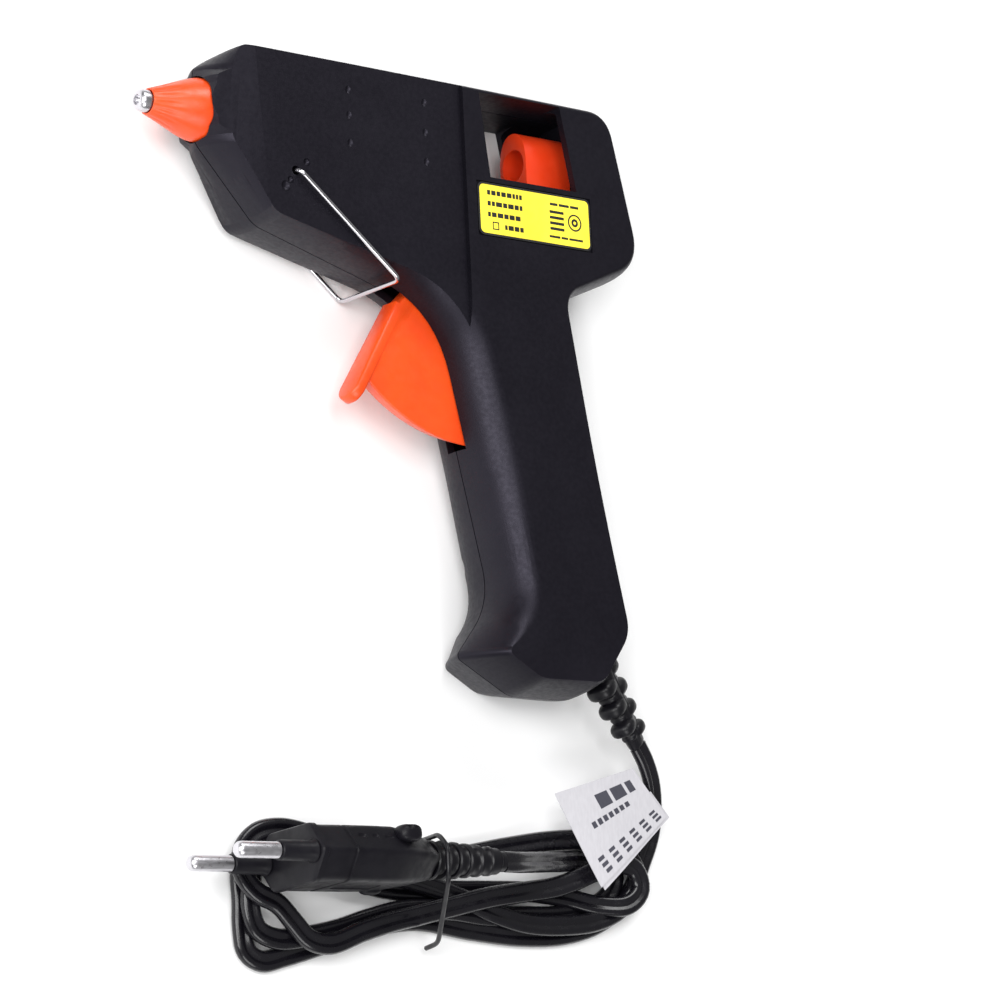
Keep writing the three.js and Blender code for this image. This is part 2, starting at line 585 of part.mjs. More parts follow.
function buildPlug() {
  const outline = (halfWidth, halfThick, x) => [
    [x, -halfWidth, 0], [x, -halfWidth + 5, halfThick], [x, halfWidth - 5, halfThick],
    [x, halfWidth, 0], [x, halfWidth - 5, -halfThick], [x, -halfWidth + 5, -halfThick],
  ];
  const rings = [outline(13.6, 7.2, 0), outline(13.6, 7.2, 14), outline(12.4, 7, 27), outline(6.4, 5.2, 42)];
  const positions = rings.flat().flat();
  const index = [];
  for (let k = 0; k < rings.length - 1; k += 1) {
    for (let i = 0; i < 6; i += 1) {
      const a = k * 6 + i;
      const b = k * 6 + ((i + 1) % 6);
      index.push(a, a + 6, b + 6, a, b + 6, b);
    }
  }
  for (let i = 1; i < 5; i += 1) {
    index.push(0, i, i + 1);
    index.push(18, 18 + i + 1, 18 + i);
  }
  const geometry = new THREE.BufferGeometry();
  geometry.setAttribute("position", new THREE.Float32BufferAttribute(positions, 3));
  geometry.setIndex(index);
  add("plug_body", onPlug(geometry), "casing", 0.4, 0);
  const relief = [[0, 42.3], [5, 42.3]];
  for (let i = 0; i < 5; i += 1) {
    const x = 44.4 + i * 3.6;
    relief.push([3.4, x], [3.4, x + 1.4], [4.9 - i * 0.3, x + 1.4], [4.9 - i * 0.3, x + 3.6]);
  }
  relief.push([2.6, PLUG_LENGTH], [0, PLUG_LENGTH]);
  add("plug_relief", onPlug(turned(relief, 20, 0, 0)), "cord", 0.4, 0);
  [-1, 1].forEach((side, i) => {
    const y = (side * PIN_SPACING) / 2;
    const sleeve = bar(2.5, -10.5, -GAP, 16, y, 0);
    const pin = turned([[0, -23], [1.4, -23], [2, -22], [2, -10.8], [0, -10.8]], 16, y, 0);
    add(`plug_sleeve_${i + 1}`, onPlug(sleeve), "cord", 0.4, 0);
    add(`plug_pin_${i + 1}`, onPlug(pin), "steel", 0.25, 0.95);
  });
}

buildCasing();
buildLabel();
buildNozzle();
buildInlet();
buildPusher();
buildTrigger();
buildReturnSpring();
buildStand();
buildWiring();
buildRelief();
buildCord();
buildPlug();

export default group;
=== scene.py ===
import math
import random

import bmesh
import bpy
import numpy as np
from mathutils import Matrix, Vector


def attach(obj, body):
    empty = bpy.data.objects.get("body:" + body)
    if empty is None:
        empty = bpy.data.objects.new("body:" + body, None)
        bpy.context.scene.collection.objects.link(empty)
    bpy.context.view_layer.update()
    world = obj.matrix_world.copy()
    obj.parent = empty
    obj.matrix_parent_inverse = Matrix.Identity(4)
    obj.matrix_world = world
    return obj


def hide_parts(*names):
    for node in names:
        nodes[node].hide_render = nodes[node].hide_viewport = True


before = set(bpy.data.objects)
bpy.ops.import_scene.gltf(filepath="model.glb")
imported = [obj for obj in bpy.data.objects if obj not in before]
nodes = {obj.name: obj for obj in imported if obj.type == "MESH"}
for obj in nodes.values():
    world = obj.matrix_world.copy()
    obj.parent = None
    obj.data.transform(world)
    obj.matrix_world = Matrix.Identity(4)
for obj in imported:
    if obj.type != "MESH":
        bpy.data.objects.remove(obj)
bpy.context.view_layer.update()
MM = 0.001

# ------------------------------------------------------------------ shared dimensions, in millimetres

GAP = 0.3  # clearance between separate pieces
WALL = 2.0
HALF = 13.5  # half thickness of the casing, and the height of its parting plane
AXIS_Y = 62.8  # line of the nozzle, the melt chamber and the glue stick
STEP_X = 16.8  # where the flank steps down to the thinner barrel
STEP_HALF = 12.0  # half thickness of the barrel at the step
NOSE_HALF = 10.7  # half thickness of the barrel at the nose
NOSE_X = -57.5
NOSE_SLOPE = 0.19  # fall of the slanting face behind the nozzle
NOSE_EDGE = ((91.0, -46.8), (36.0, -43.4))  # (y, x) of the upper and lower end of that face's edge
PAST = 2.0  # how far a cutting body reaches past what it cuts
SCREW_PLACES = ((-22.0, 43.5), (61.5, 48.0), (31.0, -43.0), (37.0, -69.5))
SCREW_SEAT = 8.0  # height of the screw heads' seats
SCREW_HOLE = 1.6
TRIGGER_PIVOT = (24.0, 32.0)
TRIGGER_SWEEP = 47.4  # radius of the blade's lower edge
TRIGGER_ARM = 16.5  # from the trigger's pivot to the pusher's pin
WEB_HALF = 3.2  # half thickness of the trigger's blade
PAD_TOP = (0.4, 20.5)
PAD_BOTTOM = (-15.4, -5.7)
PAD_THICKNESS = 3.0
PAD_HALF = 4.15  # half width of the finger pad's lower end
STAND_PIVOT = (-35.2, 47.6)
STAND_KNEE = (-5.4, 23.0)
STAND_SPACE = 0.9  # radius that the CAD gives the stand's wire
STAND_WIRE = 0.6  # radius of the wire as it looks in the photograph

# ------------------------------------------------------------------ camera

CAMERA_TARGET = Vector((33.5, -27.5, 13.5)) * MM
CAMERA_AZIMUTH = math.radians(-162.0)
CAMERA_ELEVATION = math.radians(49.6)
CAMERA_ROLL = math.radians(73.3)
CAMERA_DISTANCE = 1.0256
CAMERA_LENS = 144.0


def make_camera():
    back = Vector(
        (
            math.cos(CAMERA_ELEVATION) * math.cos(CAMERA_AZIMUTH),
            math.cos(CAMERA_ELEVATION) * math.sin(CAMERA_AZIMUTH),
            math.sin(CAMERA_ELEVATION),
        )
    )
    level = (-back).cross(Vector((0, 0, 1))).normalized()
    upright = level.cross(-back)
    right = level * math.cos(CAMERA_ROLL) + upright * math.sin(CAMERA_ROLL)
    up = back.cross(right)
    data = bpy.data.cameras.new("camera")
    data.lens = CAMERA_LENS
    data.sensor_width = 36.0
    data.clip_start = 0.05
    data.clip_end = 10.0
    camera = bpy.data.objects.new("camera", data)
    bpy.context.scene.collection.objects.link(camera)
    turn = Matrix((right, up, back)).transposed().to_4x4()
    camera.matrix_world = Matrix.Translation(CAMERA_TARGET + back * CAMERA_DISTANCE) @ turn
    bpy.context.scene.camera = camera


make_camera()

# ------------------------------------------------------------------ mesh helpers


def piece(name, points, faces):
    """A new mesh object from points in millimetres."""
    mesh = bpy.data.meshes.new(name)
    mesh.from_pydata([Vector(p) * MM for p in points], [], [tuple(f) for f in faces])
    mesh.validate()
    made = bpy.data.objects.new(name, mesh)
    bpy.context.scene.collection.objects.link(made)
    return made


def loft(name, rings, closed=False):
    """A closed body through rings of equal length; closed joins the last ring to the first."""
    count = len(rings[0])
    points = [p for ring in rings for p in ring]
    faces = []
    spans = len(rings) if closed else len(rings) - 1
    for k in range(spans):
        low, high = k * count, ((k + 1) % len(rings)) * count
        for i in range(count):
            j = (i + 1) % count
            faces.append((low + i, low + j, high + j, high + i))
    if not closed:
        faces.append(tuple(reversed(range(count))))
        faces.append(tuple(range(len(points) - count, len(points))))
    made = piece(name, points, faces)
    outward(made)
    return made


def outward(thing):
    """Turns every face of a closed mesh outwards."""
    work = bmesh.new()
    work.from_mesh(thing.data)
    bmesh.ops.recalc_face_normals(work, faces=work.faces)
    work.to_mesh(thing.data)
    work.free()


def prism(name, outline, low, high):
    """A flat outline of (x, y) points raised along Z."""
    return loft(name, [[(x, y, z) for x, y in outline] for z in (low, high)])


def box(name, low, high):
    (x0, y0, z0), (x1, y1, z1) = low, high
    return prism(name, [(x0, y0), (x1, y0), (x1, y1), (x0, y1)], z0, z1)


def circle(radius, sides, x=0.0, y=0.0):
    turns = [2 * math.pi * i / sides for i in range(sides)]
    return [(x + radius * math.cos(turn), y + radius * math.sin(turn)) for turn in turns]


def post(name, x, y, radius, low, high, sides=48):
    return prism(name, circle(radius, sides, x, y), low, high)


def turned(name, profile, sides=96, y=AXIS_Y, z=HALF, closed=False):
    """A turned piece about a line along X. The profile is a list of (radius, x)."""
    rings = []
    for radius, x in profile:
        radius = max(radius, 0.01)
        rings.append([(x, y + a, z + b) for a, b in circle(radius, sides)])
    return loft(name, rings, closed)


def squared(value, power):
    """A power of a sine or cosine that keeps its sign; a power under 1 makes a circle squarer."""
    return math.copysign(abs(value) ** power, value)


def lobe(name, centre, radii, power=1.0, sides=28, rings=14):
    """A ball stretched to three radii, with tiny flats at its poles."""
    made = []
    for k in range(rings + 1):
        tilt = math.pi * (k / rings - 0.5) * 0.996
        flat = squared(math.cos(tilt), power)
        rise = squared(math.sin(tilt), power)
        ring = []
        for across, along in circle(1.0, sides):
            point = (flat * squared(across, power), flat * squared(along, power), rise)
            ring.append(tuple(c + r * p for c, r, p in zip(centre, radii, point)))
        made.append(ring)
    return loft(name, made)


def bar(name, radius, start, end, z=HALF, sides=64):
    """A round bar on the nozzle's line, which is at z = 0 in a casing half."""
    return turned(name, [(radius, start), (radius, end)], sides, AXIS_Y, z)


def combine(thing, others, operation="DIFFERENCE"):
    """Joins or cuts a solid with others, and removes them."""
    for other in others:
        modifier = thing.modifiers.new("cut", "BOOLEAN")
        modifier.operation = operation
        modifier.solver = "MANIFOLD"
        modifier.object = other
        settle(thing)
        bpy.data.objects.remove(other)
    return thing


def settle(thing):
    """Makes what the modifiers show the object's own mesh."""
    bpy.context.view_layer.update()
    graph = bpy.context.evaluated_depsgraph_get()
    mesh = bpy.data.meshes.new_from_object(thing.evaluated_get(graph))
    thing.modifiers.clear()
    old = thing.data
    thing.data = mesh
    bpy.data.meshes.remove(old)
    return thing


def soften(thing, width, segments, angle):
    """Rounds the edges sharper than an angle."""
    modifier = thing.modifiers.new("bevel", "BEVEL")
    modifier.width = width * MM
    modifier.segments = segments
    modifier.limit_method = "ANGLE"
    modifier.angle_limit = math.radians(angle)
    modifier.use_clamp_overlap = True
    modifier.miter_outer = "MITER_ARC"
    return settle(thing)


def smooth(thing, angle, even=False):
    """Shades the surface smooth, and keeps wide flat faces flat if asked."""
    thing.data.shade_smooth()
    thing.data.set_sharp_from_angle(angle=math.radians(angle))
    if even:
        thing.modifiers.new("even", "WEIGHTED_NORMAL").keep_sharp = True
        settle(thing)
    return thing


def dress(thing, material, body, slot, *stands_for):
    """Gives a piece its material, its body and the nodes it stands for; the slot argument is not used.
    """
    thing.data.materials.clear()
    thing.data.materials.append(material)
    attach(thing, body)
    if stands_for:
        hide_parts(*stands_for)
    return thing


def spline(points, step):
    """A smooth centripetal Catmull-Rom line through points, with a point about every step."""
    way = [np.array(p, float) for p in points]
    way = [2 * way[0] - way[1], *way, 2 * way[-1] - way[-2]]
    line = []
    for a, b, c, d in zip(way, way[1:], way[2:], way[3:]):
        t0 = 0.0
        t1 = t0 + np.linalg.norm(b - a) ** 0.5
        t2 = t1 + np.linalg.norm(c - b) ** 0.5
        t3 = t2 + np.linalg.norm(d - c) ** 0.5
        count = max(2, round(float(np.linalg.norm(c - b)) / step))
        for t in np.linspace(t1, t2, count, endpoint=False):
            p = (t1 - t) / (t1 - t0) * a + (t - t0) / (t1 - t0) * b
            q = (t2 - t) / (t2 - t1) * b + (t - t1) / (t2 - t1) * c
            r = (t3 - t) / (t3 - t2) * c + (t - t2) / (t3 - t2) * d
            u = (t2 - t) / (t2 - t0) * p + (t - t0) / (t2 - t0) * q
            v = (t3 - t) / (t3 - t1) * q + (t - t1) / (t3 - t1) * r
            line.append((t2 - t) / (t2 - t1) * u + (t - t1) / (t2 - t1) * v)
    line.append(way[-2])
    return line


def bent(points, radius, steps=8):
    """Straight runs joined by round corners."""
    way = [np.array(p, float) for p in points]
    line = [way[0]]
    for before, here, after in zip(way, way[1:], way[2:]):
        start = here + (before - here) / np.linalg.norm(before - here) * radius
        end = here + (after - here) / np.linalg.norm(after - here) * radius
        for i in range(steps + 1):
            t = i / steps
            line.append((1 - t) ** 2 * start + 2 * t * (1 - t) * here + t**2 * end)
    line.append(way[-1])
    return line


def sweep(name, line, section, lean=None):
    """Carries a section of (across, up) points along a line. With a lean, in radians for each
    point of the line, the section's width stays level but for that lean."""
    line = np.array(line)
    along = np.gradient(line, axis=0)
    along /= np.linalg.norm(along, axis=1)[:, None]
    across = np.cross(along[0], (0, 0, 1))
    if np.linalg.norm(across) < 1e-3:
        across = np.array((1.0, 0, 0))
    rings = []
    for i, (here, way) in enumerate(zip(line, along)):
        if lean is None:
            turn = 0.0
            across = across - way * float(across @ way)
        else:
            turn = lean[i]
            across = np.cross(way, (0, 0, 1))
        across = across / np.linalg.norm(across)
        up = np.cross(across, way)
        side = across * math.cos(turn) + up * math.sin(turn)
        over = up * math.cos(turn) - across * math.sin(turn)
        rings.append([tuple(here + side * a + over * b) for a, b in section])
    return loft(name, rings)


# ------------------------------------------------------------------ materials


class Paint:
    """Builds a material's nodes. Noise scales are in repeats a metre."""

    def __init__(self, name, colour, roughness, metallic=0.0, specular=0.5, coat=0.0):
        self.material = bpy.data.materials.new(name)
        self.material.use_nodes = True
        self.tree = self.material.node_tree
        self.shader = self.tree.nodes["Principled BSDF"]
        self.place = self.tree.nodes.new("ShaderNodeTexCoord").outputs["Object"]
        self.set("Base Color", (*colour, 1))
        self.set("Roughness", roughness)
        self.set("Metallic", metallic)
        self.set("Specular IOR Level", specular)
        self.set("Coat Weight", coat)
        self.colour = colour
        self.relief = None

    def set(self, socket, value):
        self.shader.inputs[socket].default_value = value

    def link(self, a, b):
        self.tree.links.new(a, b)

    def node(self, kind, **values):
        made = self.tree.nodes.new(kind)
        for key, value in values.items():
            if key in made.inputs:
                made.inputs[key].default_value = value
            else:
                setattr(made, key, value)
        return made

    def noise(self, scale, detail, stretch=None):
        made = self.node("ShaderNodeTexNoise", Scale=scale, Detail=detail)
        if stretch is None:
            self.link(self.place, made.inputs["Vector"])
        else:
            mapping = self.node("ShaderNodeMapping", Scale=stretch)
            self.link(self.place, mapping.inputs["Vector"])
            self.link(mapping.outputs["Vector"], made.inputs["Vector"])
        return made.outputs["Fac"]

    def ramp(self, value, low, high):
        """Spreads the middle of a noise, where nearly all of it lies, from low to high."""
        made = self.node("ShaderNodeMapRange")
        self.link(value, made.inputs["Value"])
        for key, number in (("From Min", 0.35), ("From Max", 0.65), ("To Min", low), ("To Max", high)):
            made.inputs[key].default_value = number
        return made.outputs["Result"]

    def vary_roughness(self, value, low, high):
        self.link(self.ramp(value, low, high), self.shader.inputs["Roughness"])

    def vary_colour(self, value, other):
        """Mixes the paint's own colour with another one by a value from 0.35 to 0.65."""
        mix = self.node("ShaderNodeMix", data_type="RGBA")
        colours = [s for s in mix.inputs if s.type == "RGBA"]
        colours[0].default_value = (*self.colour, 1)
        colours[1].default_value = (*other, 1)
        self.link(self.ramp(value, 0.0, 1.0), mix.inputs["Factor"])
        self.link([s for s in mix.outputs if s.type == "RGBA"][0], self.shader.inputs["Base Color"])

    def bump(self, value, depth):
        """Adds a relief of a depth in millimetres to the ones already there."""
        made = self.node("ShaderNodeBump", Strength=1.0, Distance=depth * MM)
        self.link(value, made.inputs["Height"])
        if self.relief is not None:
            self.link(self.relief, made.inputs["Normal"])
        self.relief = made.outputs["Normal"]
        self.link(self.relief, self.shader.inputs["Normal"])


def casing_plastic():
    paint = Paint("casing_plastic", (0.0034, 0.0030, 0.0050), 0.42, specular=0.30)
    paint.set("Specular Tint", (0.84, 0.79, 1.0, 1))
    paint.vary_colour(paint.noise(60, 3), (0.0052, 0.0047, 0.0072))
    paint.vary_roughness(paint.noise(900, 3), 0.40, 0.50)
    paint.bump(paint.noise(1800, 2), 0.018)
    paint.bump(paint.noise(35, 2), 0.05)
    return paint.material


def orange_plastic(name, colour, darker):
    paint = Paint(name, colour, 0.33)
    paint.set("Subsurface Weight", 0.10)
    paint.set("Subsurface Radius", (0.004, 0.0012, 0.0004))
    paint.vary_colour(paint.noise(90, 3), darker)
    paint.vary_roughness(paint.noise(500, 3), 0.30, 0.42)
    paint.bump(paint.noise(1400, 2), 0.010)
    return paint.material


def bright_steel(name, roughness, streak=None):
    paint = Paint(name, (0.64, 0.63, 0.66), roughness, metallic=1.0)
    grain = paint.noise(900, 4, stretch=streak)
    paint.vary_roughness(grain, roughness * 0.85, roughness * 1.25)
    paint.bump(grain, 0.0015)
    return paint.material


def satin_metal(name, colour, roughness):
    paint = Paint(name, colour, roughness, metallic=1.0)
    paint.vary_roughness(paint.noise(700, 4), roughness * 0.8, roughness * 1.3)
    paint.bump(paint.noise(1100, 3), 0.010)
    return paint.material


def soft_plastic(name, colour, roughness, grain=0.008, coat=0.0, specular=0.5):
    paint = Paint(name, colour, roughness, specular=specular, coat=coat)
    paint.vary_colour(paint.noise(70, 3), tuple(c * 1.35 + 0.001 for c in colour))
    paint.vary_roughness(paint.noise(420, 4), roughness * 0.85, roughness * 1.25)
    paint.bump(paint.noise(1300, 3), grain)
    return paint.material


def paper():
    paint = Paint("paper", (0.56, 0.55, 0.58), 0.75)
    paint.vary_colour(paint.noise(1500, 4, stretch=(1, 0.3, 1)), (0.52, 0.51, 0.54))
    paint.bump(paint.noise(1600, 4), 0.02)
    paint.bump(paint.noise(60, 2), 0.12)
    return paint.material


CASING = casing_plastic()
ORANGE = orange_plastic("orange_plastic", (0.84, 0.080, 0.009), (0.78, 0.064, 0.007))
WIRE = bright_steel("drawn_wire", 0.16, streak=(0.2, 1, 1))
STEEL = bright_steel("plated_steel", 0.28)
BLACK_STEEL = satin_metal("blackened_steel", (0.012, 0.012, 0.015), 0.5)
ALUMINIUM = satin_metal("cast_aluminium", (0.62, 0.63, 0.65), 0.45)
BRASS = satin_metal("brass_strip", (0.72, 0.50, 0.18), 0.35)
# A redder, darker copy of the orange plastic: painted shade for the pusher, which sits in shadow inside
# the casing.
ORANGE_PAINTED_SHADE = orange_plastic("orange_plastic_painted_shade", (0.86, 0.055, 0.010), (0.80, 0.045, 0.008))
CERAMIC = soft_plastic("heater_ceramic", (0.10, 0.10, 0.115), 0.8, grain=0.03)
SILICONE = soft_plastic("silicone", (0.55, 0.14, 0.06), 0.55)
LABEL = soft_plastic("label_film", (0.86, 0.72, 0.050), 0.38, grain=0.004)
INK = soft_plastic("label_ink", (0.012, 0.012, 0.012), 0.5, grain=0.002)
CORD = soft_plastic("cord_pvc", (0.0040, 0.0036, 0.0056), 0.24, grain=0.004, coat=0.2, specular=0.4)
RUBBER = soft_plastic("relief_pvc", (0.0035, 0.0032, 0.0050), 0.36, grain=0.006, specular=0.32)
PLUG = soft_plastic("plug_pvc", (0.0045, 0.0041, 0.0062), 0.42, grain=0.010, specular=0.18)
PAPER = paper()
GREY_INK = soft_plastic("tag_ink", (0.045, 0.045, 0.06), 0.7, grain=0.002)
BLUE = soft_plastic("blue_insulation", (0.025, 0.09, 0.38), 0.4)
BROWN = soft_plastic("brown_insulation", (0.14, 0.045, 0.014), 0.4)
NICKEL = bright_steel("plug_pin_nickel", 0.32)

# ------------------------------------------------------------------ the cord

CORD_WIDTH = 5.4
CORD_THICK = 2.7
CORD_STEP = 1.2  # spacing of the swept sections along the cord
LOW, MIDDLE, HIGH = 1.55, 4.2, 6.75  # heights of the three layers of the hank

# The cord's way, in the order it takes from the strain relief to the plug.
LEAD = [
    (79.2, -88.25, 9.16), (82.1, -92, 8.4), (85.4, -97, 6.6), (87.7, -103, 4.2), (88.2, -108.5, 2.6),
    (87.2, -113, 1.8), (85.0, -117.6, LOW),
]
RUN_OUT = [
    (81.9, -123.5, LOW), (76.5, -129.4, LOW), (68.4, -134.2, LOW), (57, -137.2, LOW),
    (43, -137.9, LOW), (27, -136.7, LOW), (9, -134.6, LOW), (-8, -137.4, LOW), (-20, -141.2, LOW),
    (-31, -144.2, LOW), (-38, -145.6, LOW), (-42.2, -143.4, LOW), (-43.3, -138, LOW),
    (-43.2, -131, LOW), (-43.4, -124.5, LOW), (-41.6, -118.8, LOW), (-36.5, -115.8, LOW),
]
RUN_BACK = [
    (-28, -115.6, LOW), (-14, -117.6, LOW), (4, -120.7, LOW), (22, -118.6, LOW), (40, -115.3, LOW),
    (55, -113.1, LOW), (66, -112.7, 2.4), (75, -114.6, MIDDLE), (80.3, -119.6, MIDDLE),
    (79.5, -125.6, MIDDLE), (74, -130.6, MIDDLE), (66, -133.8, MIDDLE),
]
FIRST_CROSSING = [
    (55, -135.2, MIDDLE), (43, -135, MIDDLE), (33, -132.8, MIDDLE), (23, -129.4, MIDDLE),
    (12, -126.2, MIDDLE), (1, -123.6, MIDDLE), (-9, -120.8, 5.2), (-18, -117.6, HIGH),
    (-27, -114.9, HIGH), (-35, -113.9, HIGH), (-42, -115.4, HIGH), (-46.2, -119.8, HIGH),
    (-46.4, -124.6, HIGH), (-42.4, -129.4, HIGH), (-36.2, -132.2, HIGH), (-31.8, -136.4, HIGH),
    (-27.2, -140.6, HIGH), (-21, -141.6, HIGH),
]
TOP_CROSSING = [
    (-11, -138.3, HIGH), (-3.0, -136.0, HIGH), (6, -134, HIGH), (17, -131.6, HIGH),
    (29, -129.0, HIGH), (41, -127.2, HIGH), (50.6, -125.8, HIGH), (57, -124.0, HIGH),
    (64, -121.4, HIGH), (71.5, -119.0, HIGH), (78, -120.4, HIGH), (79.6, -125.4, HIGH),
    (75, -129.6, HIGH), (67, -129.8, 4.4), (57, -127.5, 1.9),
]
INNER_RUN = [
    (46, -126.5, LOW), (34, -126.6, LOW), (20, -127, LOW), (6, -127.2, LOW), (-4, -126.2, LOW),
    (-12.5, -123.8, 2.7), (-20.5, -121, MIDDLE), (-29, -119.2, MIDDLE), (-36, -119.6, MIDDLE),
    (-40.6, -122.6, MIDDLE), (-42.2, -127.8, MIDDLE), (-42.4, -133.4, MIDDLE),
    (-40.6, -138.2, MIDDLE), (-35.2, -140.4, MIDDLE), (-27, -139.8, MIDDLE), (-17, -137.9, MIDDLE),
]
LAST_RUN = [
    (-7, -135, MIDDLE), (4, -132.6, MIDDLE), (18, -132.2, MIDDLE), (31, -133.2, 2.8),
    (44, -132.8, LOW), (56, -132.4, LOW), (66, -130.4, LOW), (73, -126.4, LOW), (75.2, -121.2, LOW),
    (71.5, -118.2, LOW), (64, -118.1, 2.6), (57.5, -118.7, 5.2),
]
TAIL = [
    (51.5, -119.4, 8.4), (46, -119.9, 11.2), (40, -120.5, 14.0), (34, -121.1, 17), (28, -121.6, 19.6),
    (23.2, -121.7, 20.6),
]


def cord_section():
    """Two round cores side by side with a groove between them."""
    points_each = 9
    radius = CORD_THICK / 2
    centre = CORD_WIDTH / 2 - radius
    open_angle = math.radians(150)
    points = []
    for side in (1, -1):
        for i in range(points_each):
            angle = -open_angle + 2 * open_angle * i / (points_each - 1)
            points.append((side * (centre + radius * math.cos(angle)), side * radius * math.sin(angle)))
    return points


def cord_lean(count):
    """A slow roll of the flat cord about its own line, in radians, for each of its points."""
    return [0.05 * math.sin(i * 0.021) + 0.04 * math.sin(i * 0.0523 + 1.3) for i in range(count)]


def make_cord():
    way = LEAD + RUN_OUT + RUN_BACK + FIRST_CROSSING + TOP_CROSSING + INNER_RUN + LAST_RUN + TAIL
    line = spline(way, CORD_STEP)
    cord = sweep("cord", line, cord_section(), cord_lean(len(line)))
    smooth(cord, 60)
    dress(cord, CORD, "gun", "cord_pvc", "cord_lead", "cord_hank", "cord_tail")
    length = sum(float(np.linalg.norm(b - a)) for a, b in zip(line, line[1:]))
    return cord, line, length * MM


cord, cord_line, cord_length = make_cord()

# ------------------------------------------------------------------ the casing

CASE_CORNERS = [
    # corner on the parting plane, corner on the flank, rounding, crown exponent
    ((-57.5, 54.0), (-46.2, 53.8), 1.2, 1.5),
    ((-40.9, 35.5), (-43.6, 38.0), 2.2, 2.4),
    ((11.8, 19.9), (19.0, 25.0), 18, 2),
    ((19.4, -14.0), (29.4, -14.0), 10, 2),
    ((28.6, -54.5), (36.0, -59.0), 9, 2),
    ((16.6, -69.4), (23.0, -69.6), 2.2, 1.2),
    ((33.1, -78.5), (33.6, -75.8), 2.2, 1.2),
    ((54.0, -78.5), (54.0, -75.6), 3, 1.4),
    ((65.3, -62.0), (63.2, -62.2), 4, 2),
    ((57.4, -24.0), (55.4, -24.0), 22, 2),
    ((49.5, 24.4), (47.3, 26.4), 6, 2),
    ((76.1, 36.0), (73.2, 38.4), 8, 2.2),
    ((66.8, 78.5), (64.8, 75.9), 6.5, 2.2),
    ((-49.4, 78.5), (-48.6, 77.2), 1.2, 3),
    ((-57.5, 73.4), (-47.0, 71.8), 1, 1.4),
    ((-58.2, 69.0), (-47.2, 68.0), 1, 2.4),
    ((-58.4, 63.4), (-47.2, 63.0), 1, 3.6),
    ((-58.2, 58.0), (-46.8, 58.0), 1, 2.4),
]


def inset_corners(corners, wall):
    """Moves each corner of a polygon inwards by the same wall."""
    moved = []
    for i, corner in enumerate(corners):
        here = Vector(corner)
        before = (here - Vector(corners[i - 1])).normalized()
        after = (Vector(corners[(i + 1) % len(corners)]) - here).normalized()
        a, b = Vector((-before.y, before.x)), Vector((-after.y, after.x))
        middle = (a + b).normalized()
        moved.append(tuple(here + middle * (wall / middle.dot(b))))
    return moved


def rounded_ring(corners, cuts, corner_points):
    """A polygon whose corners are rounded over the length cut from each of their sides."""
    ring = []
    for i, corner in enumerate(corners):
        here = Vector(corner)
        start = here + (Vector(corners[i - 1]) - here).normalized() * cuts[i]
        end = here + (Vector(corners[(i + 1) % len(corners)]) - here).normalized() * cuts[i]
        for k in range(corner_points):
            t = k / (corner_points - 1)
            ring.append((1 - t) ** 2 * start + 2 * t * (1 - t) * here + t**2 * end)
    return ring


def case_half(name, inset, low, high, corner_points, crown_rings):
    """Half of the casing's form, from the parting plane up to the flank."""
    cuts = [max(cut - inset * 0.4, 0.8) for _, _, cut, _ in CASE_CORNERS]
    rim = rounded_ring(inset_corners([c[0] for c in CASE_CORNERS], inset), cuts, corner_points)
    flank = rounded_ring(inset_corners([c[1] for c in CASE_CORNERS], inset * 0.8), cuts, corner_points)
    rings = []
    for k in range(crown_rings + 1):
        turn = math.pi / 2 * k / crown_rings
        ring = []
        for i, (a, b) in enumerate(zip(rim, flank)):
            crown = CASE_CORNERS[i // corner_points][3]
            across = 1 - max(math.cos(turn), 0) ** (2 / crown) if k < crown_rings else 1
            up = math.sin(turn) ** (2 / crown)
            p = a + (b - a) * across
            ring.append((p.x, p.y, low + (high - low) * up))
        rings.append(ring)
    return loft(name, rings)


def barrel_flank(x):
    """The height of the barrel's flank above the parting plane."""
    return STEP_HALF - (STEP_HALF - NOSE_HALF) * (STEP_X - x) / (STEP_X - NOSE_X)


def barrel_relief(wall):
    """The space over the barrel's thinner flank."""
    start, end = STEP_X + wall, NOSE_X - 5
    outline = [
        (start, barrel_flank(start) - wall), (start, HALF + PAST),
        (end, HALF + PAST), (end, barrel_flank(end) - wall),
    ]
    return loft("relief", [[(x, y, z) for x, z in outline] for y in (11.0, 91.0)])


def nose_bevel(wall):
    """The space over the slanting face behind the nozzle."""
    tip = NOSE_X - 8
    rings = []
    for y, edge in NOSE_EDGE:
        level = barrel_flank(edge) - wall
        rings.append([
            (edge, y, HALF + PAST), (tip, y, HALF + PAST),
            (tip, y, level - NOSE_SLOPE * (edge - tip)), (edge, y, level),
        ])
    return loft("bevel", rings)


RIB_THICKNESS = 1.6
WINDOW = [(24.7, 53.8), (53.3, 53.8), (48.9, 76.2), (22.1, 76.2)]
TRIGGER_SLOT = [(-3.6, 34), (-3.6, 12), (10, -16.1), (34, -16.1), (34, 34)]
DIMPLES = ((-18.3, (70.9, 64.3, 57.0)), (5.4, (71.1, 63.2, 55.4)))
STAND_PITS = ((-3.2, -4.4, 1.5), (3.4, 2.6, 1.1), (-1.7, -2.6, 1.0))
RELIEF_START = Vector((57.5, -61, HALF))
RELIEF_END = Vector((79, -88, 9.2))


def on_relief(thing):
    """Puts a piece made along +Y from the origin onto the strain relief's line."""
    turn = Vector((0, 1, 0)).rotation_difference(RELIEF_END - RELIEF_START).to_matrix().to_4x4()
    thing.data.transform(Matrix.Translation(RELIEF_START * MM) @ turn)
    return thing


def rib(x, bottom, top, seat):
    """A rib across the casing with a round seat for what runs along its axis."""
    plate = box("rib", (x, bottom, -1), (x + RIB_THICKNESS, top, HALF))
    return combine(plate, [bar("seat", seat, x - 1, x + RIB_THICKNESS + 1, z=0)])


def copy_of(thing):
    copied = thing.copy()
    copied.data = thing.data.copy()
    bpy.context.scene.collection.objects.link(copied)
    return copied


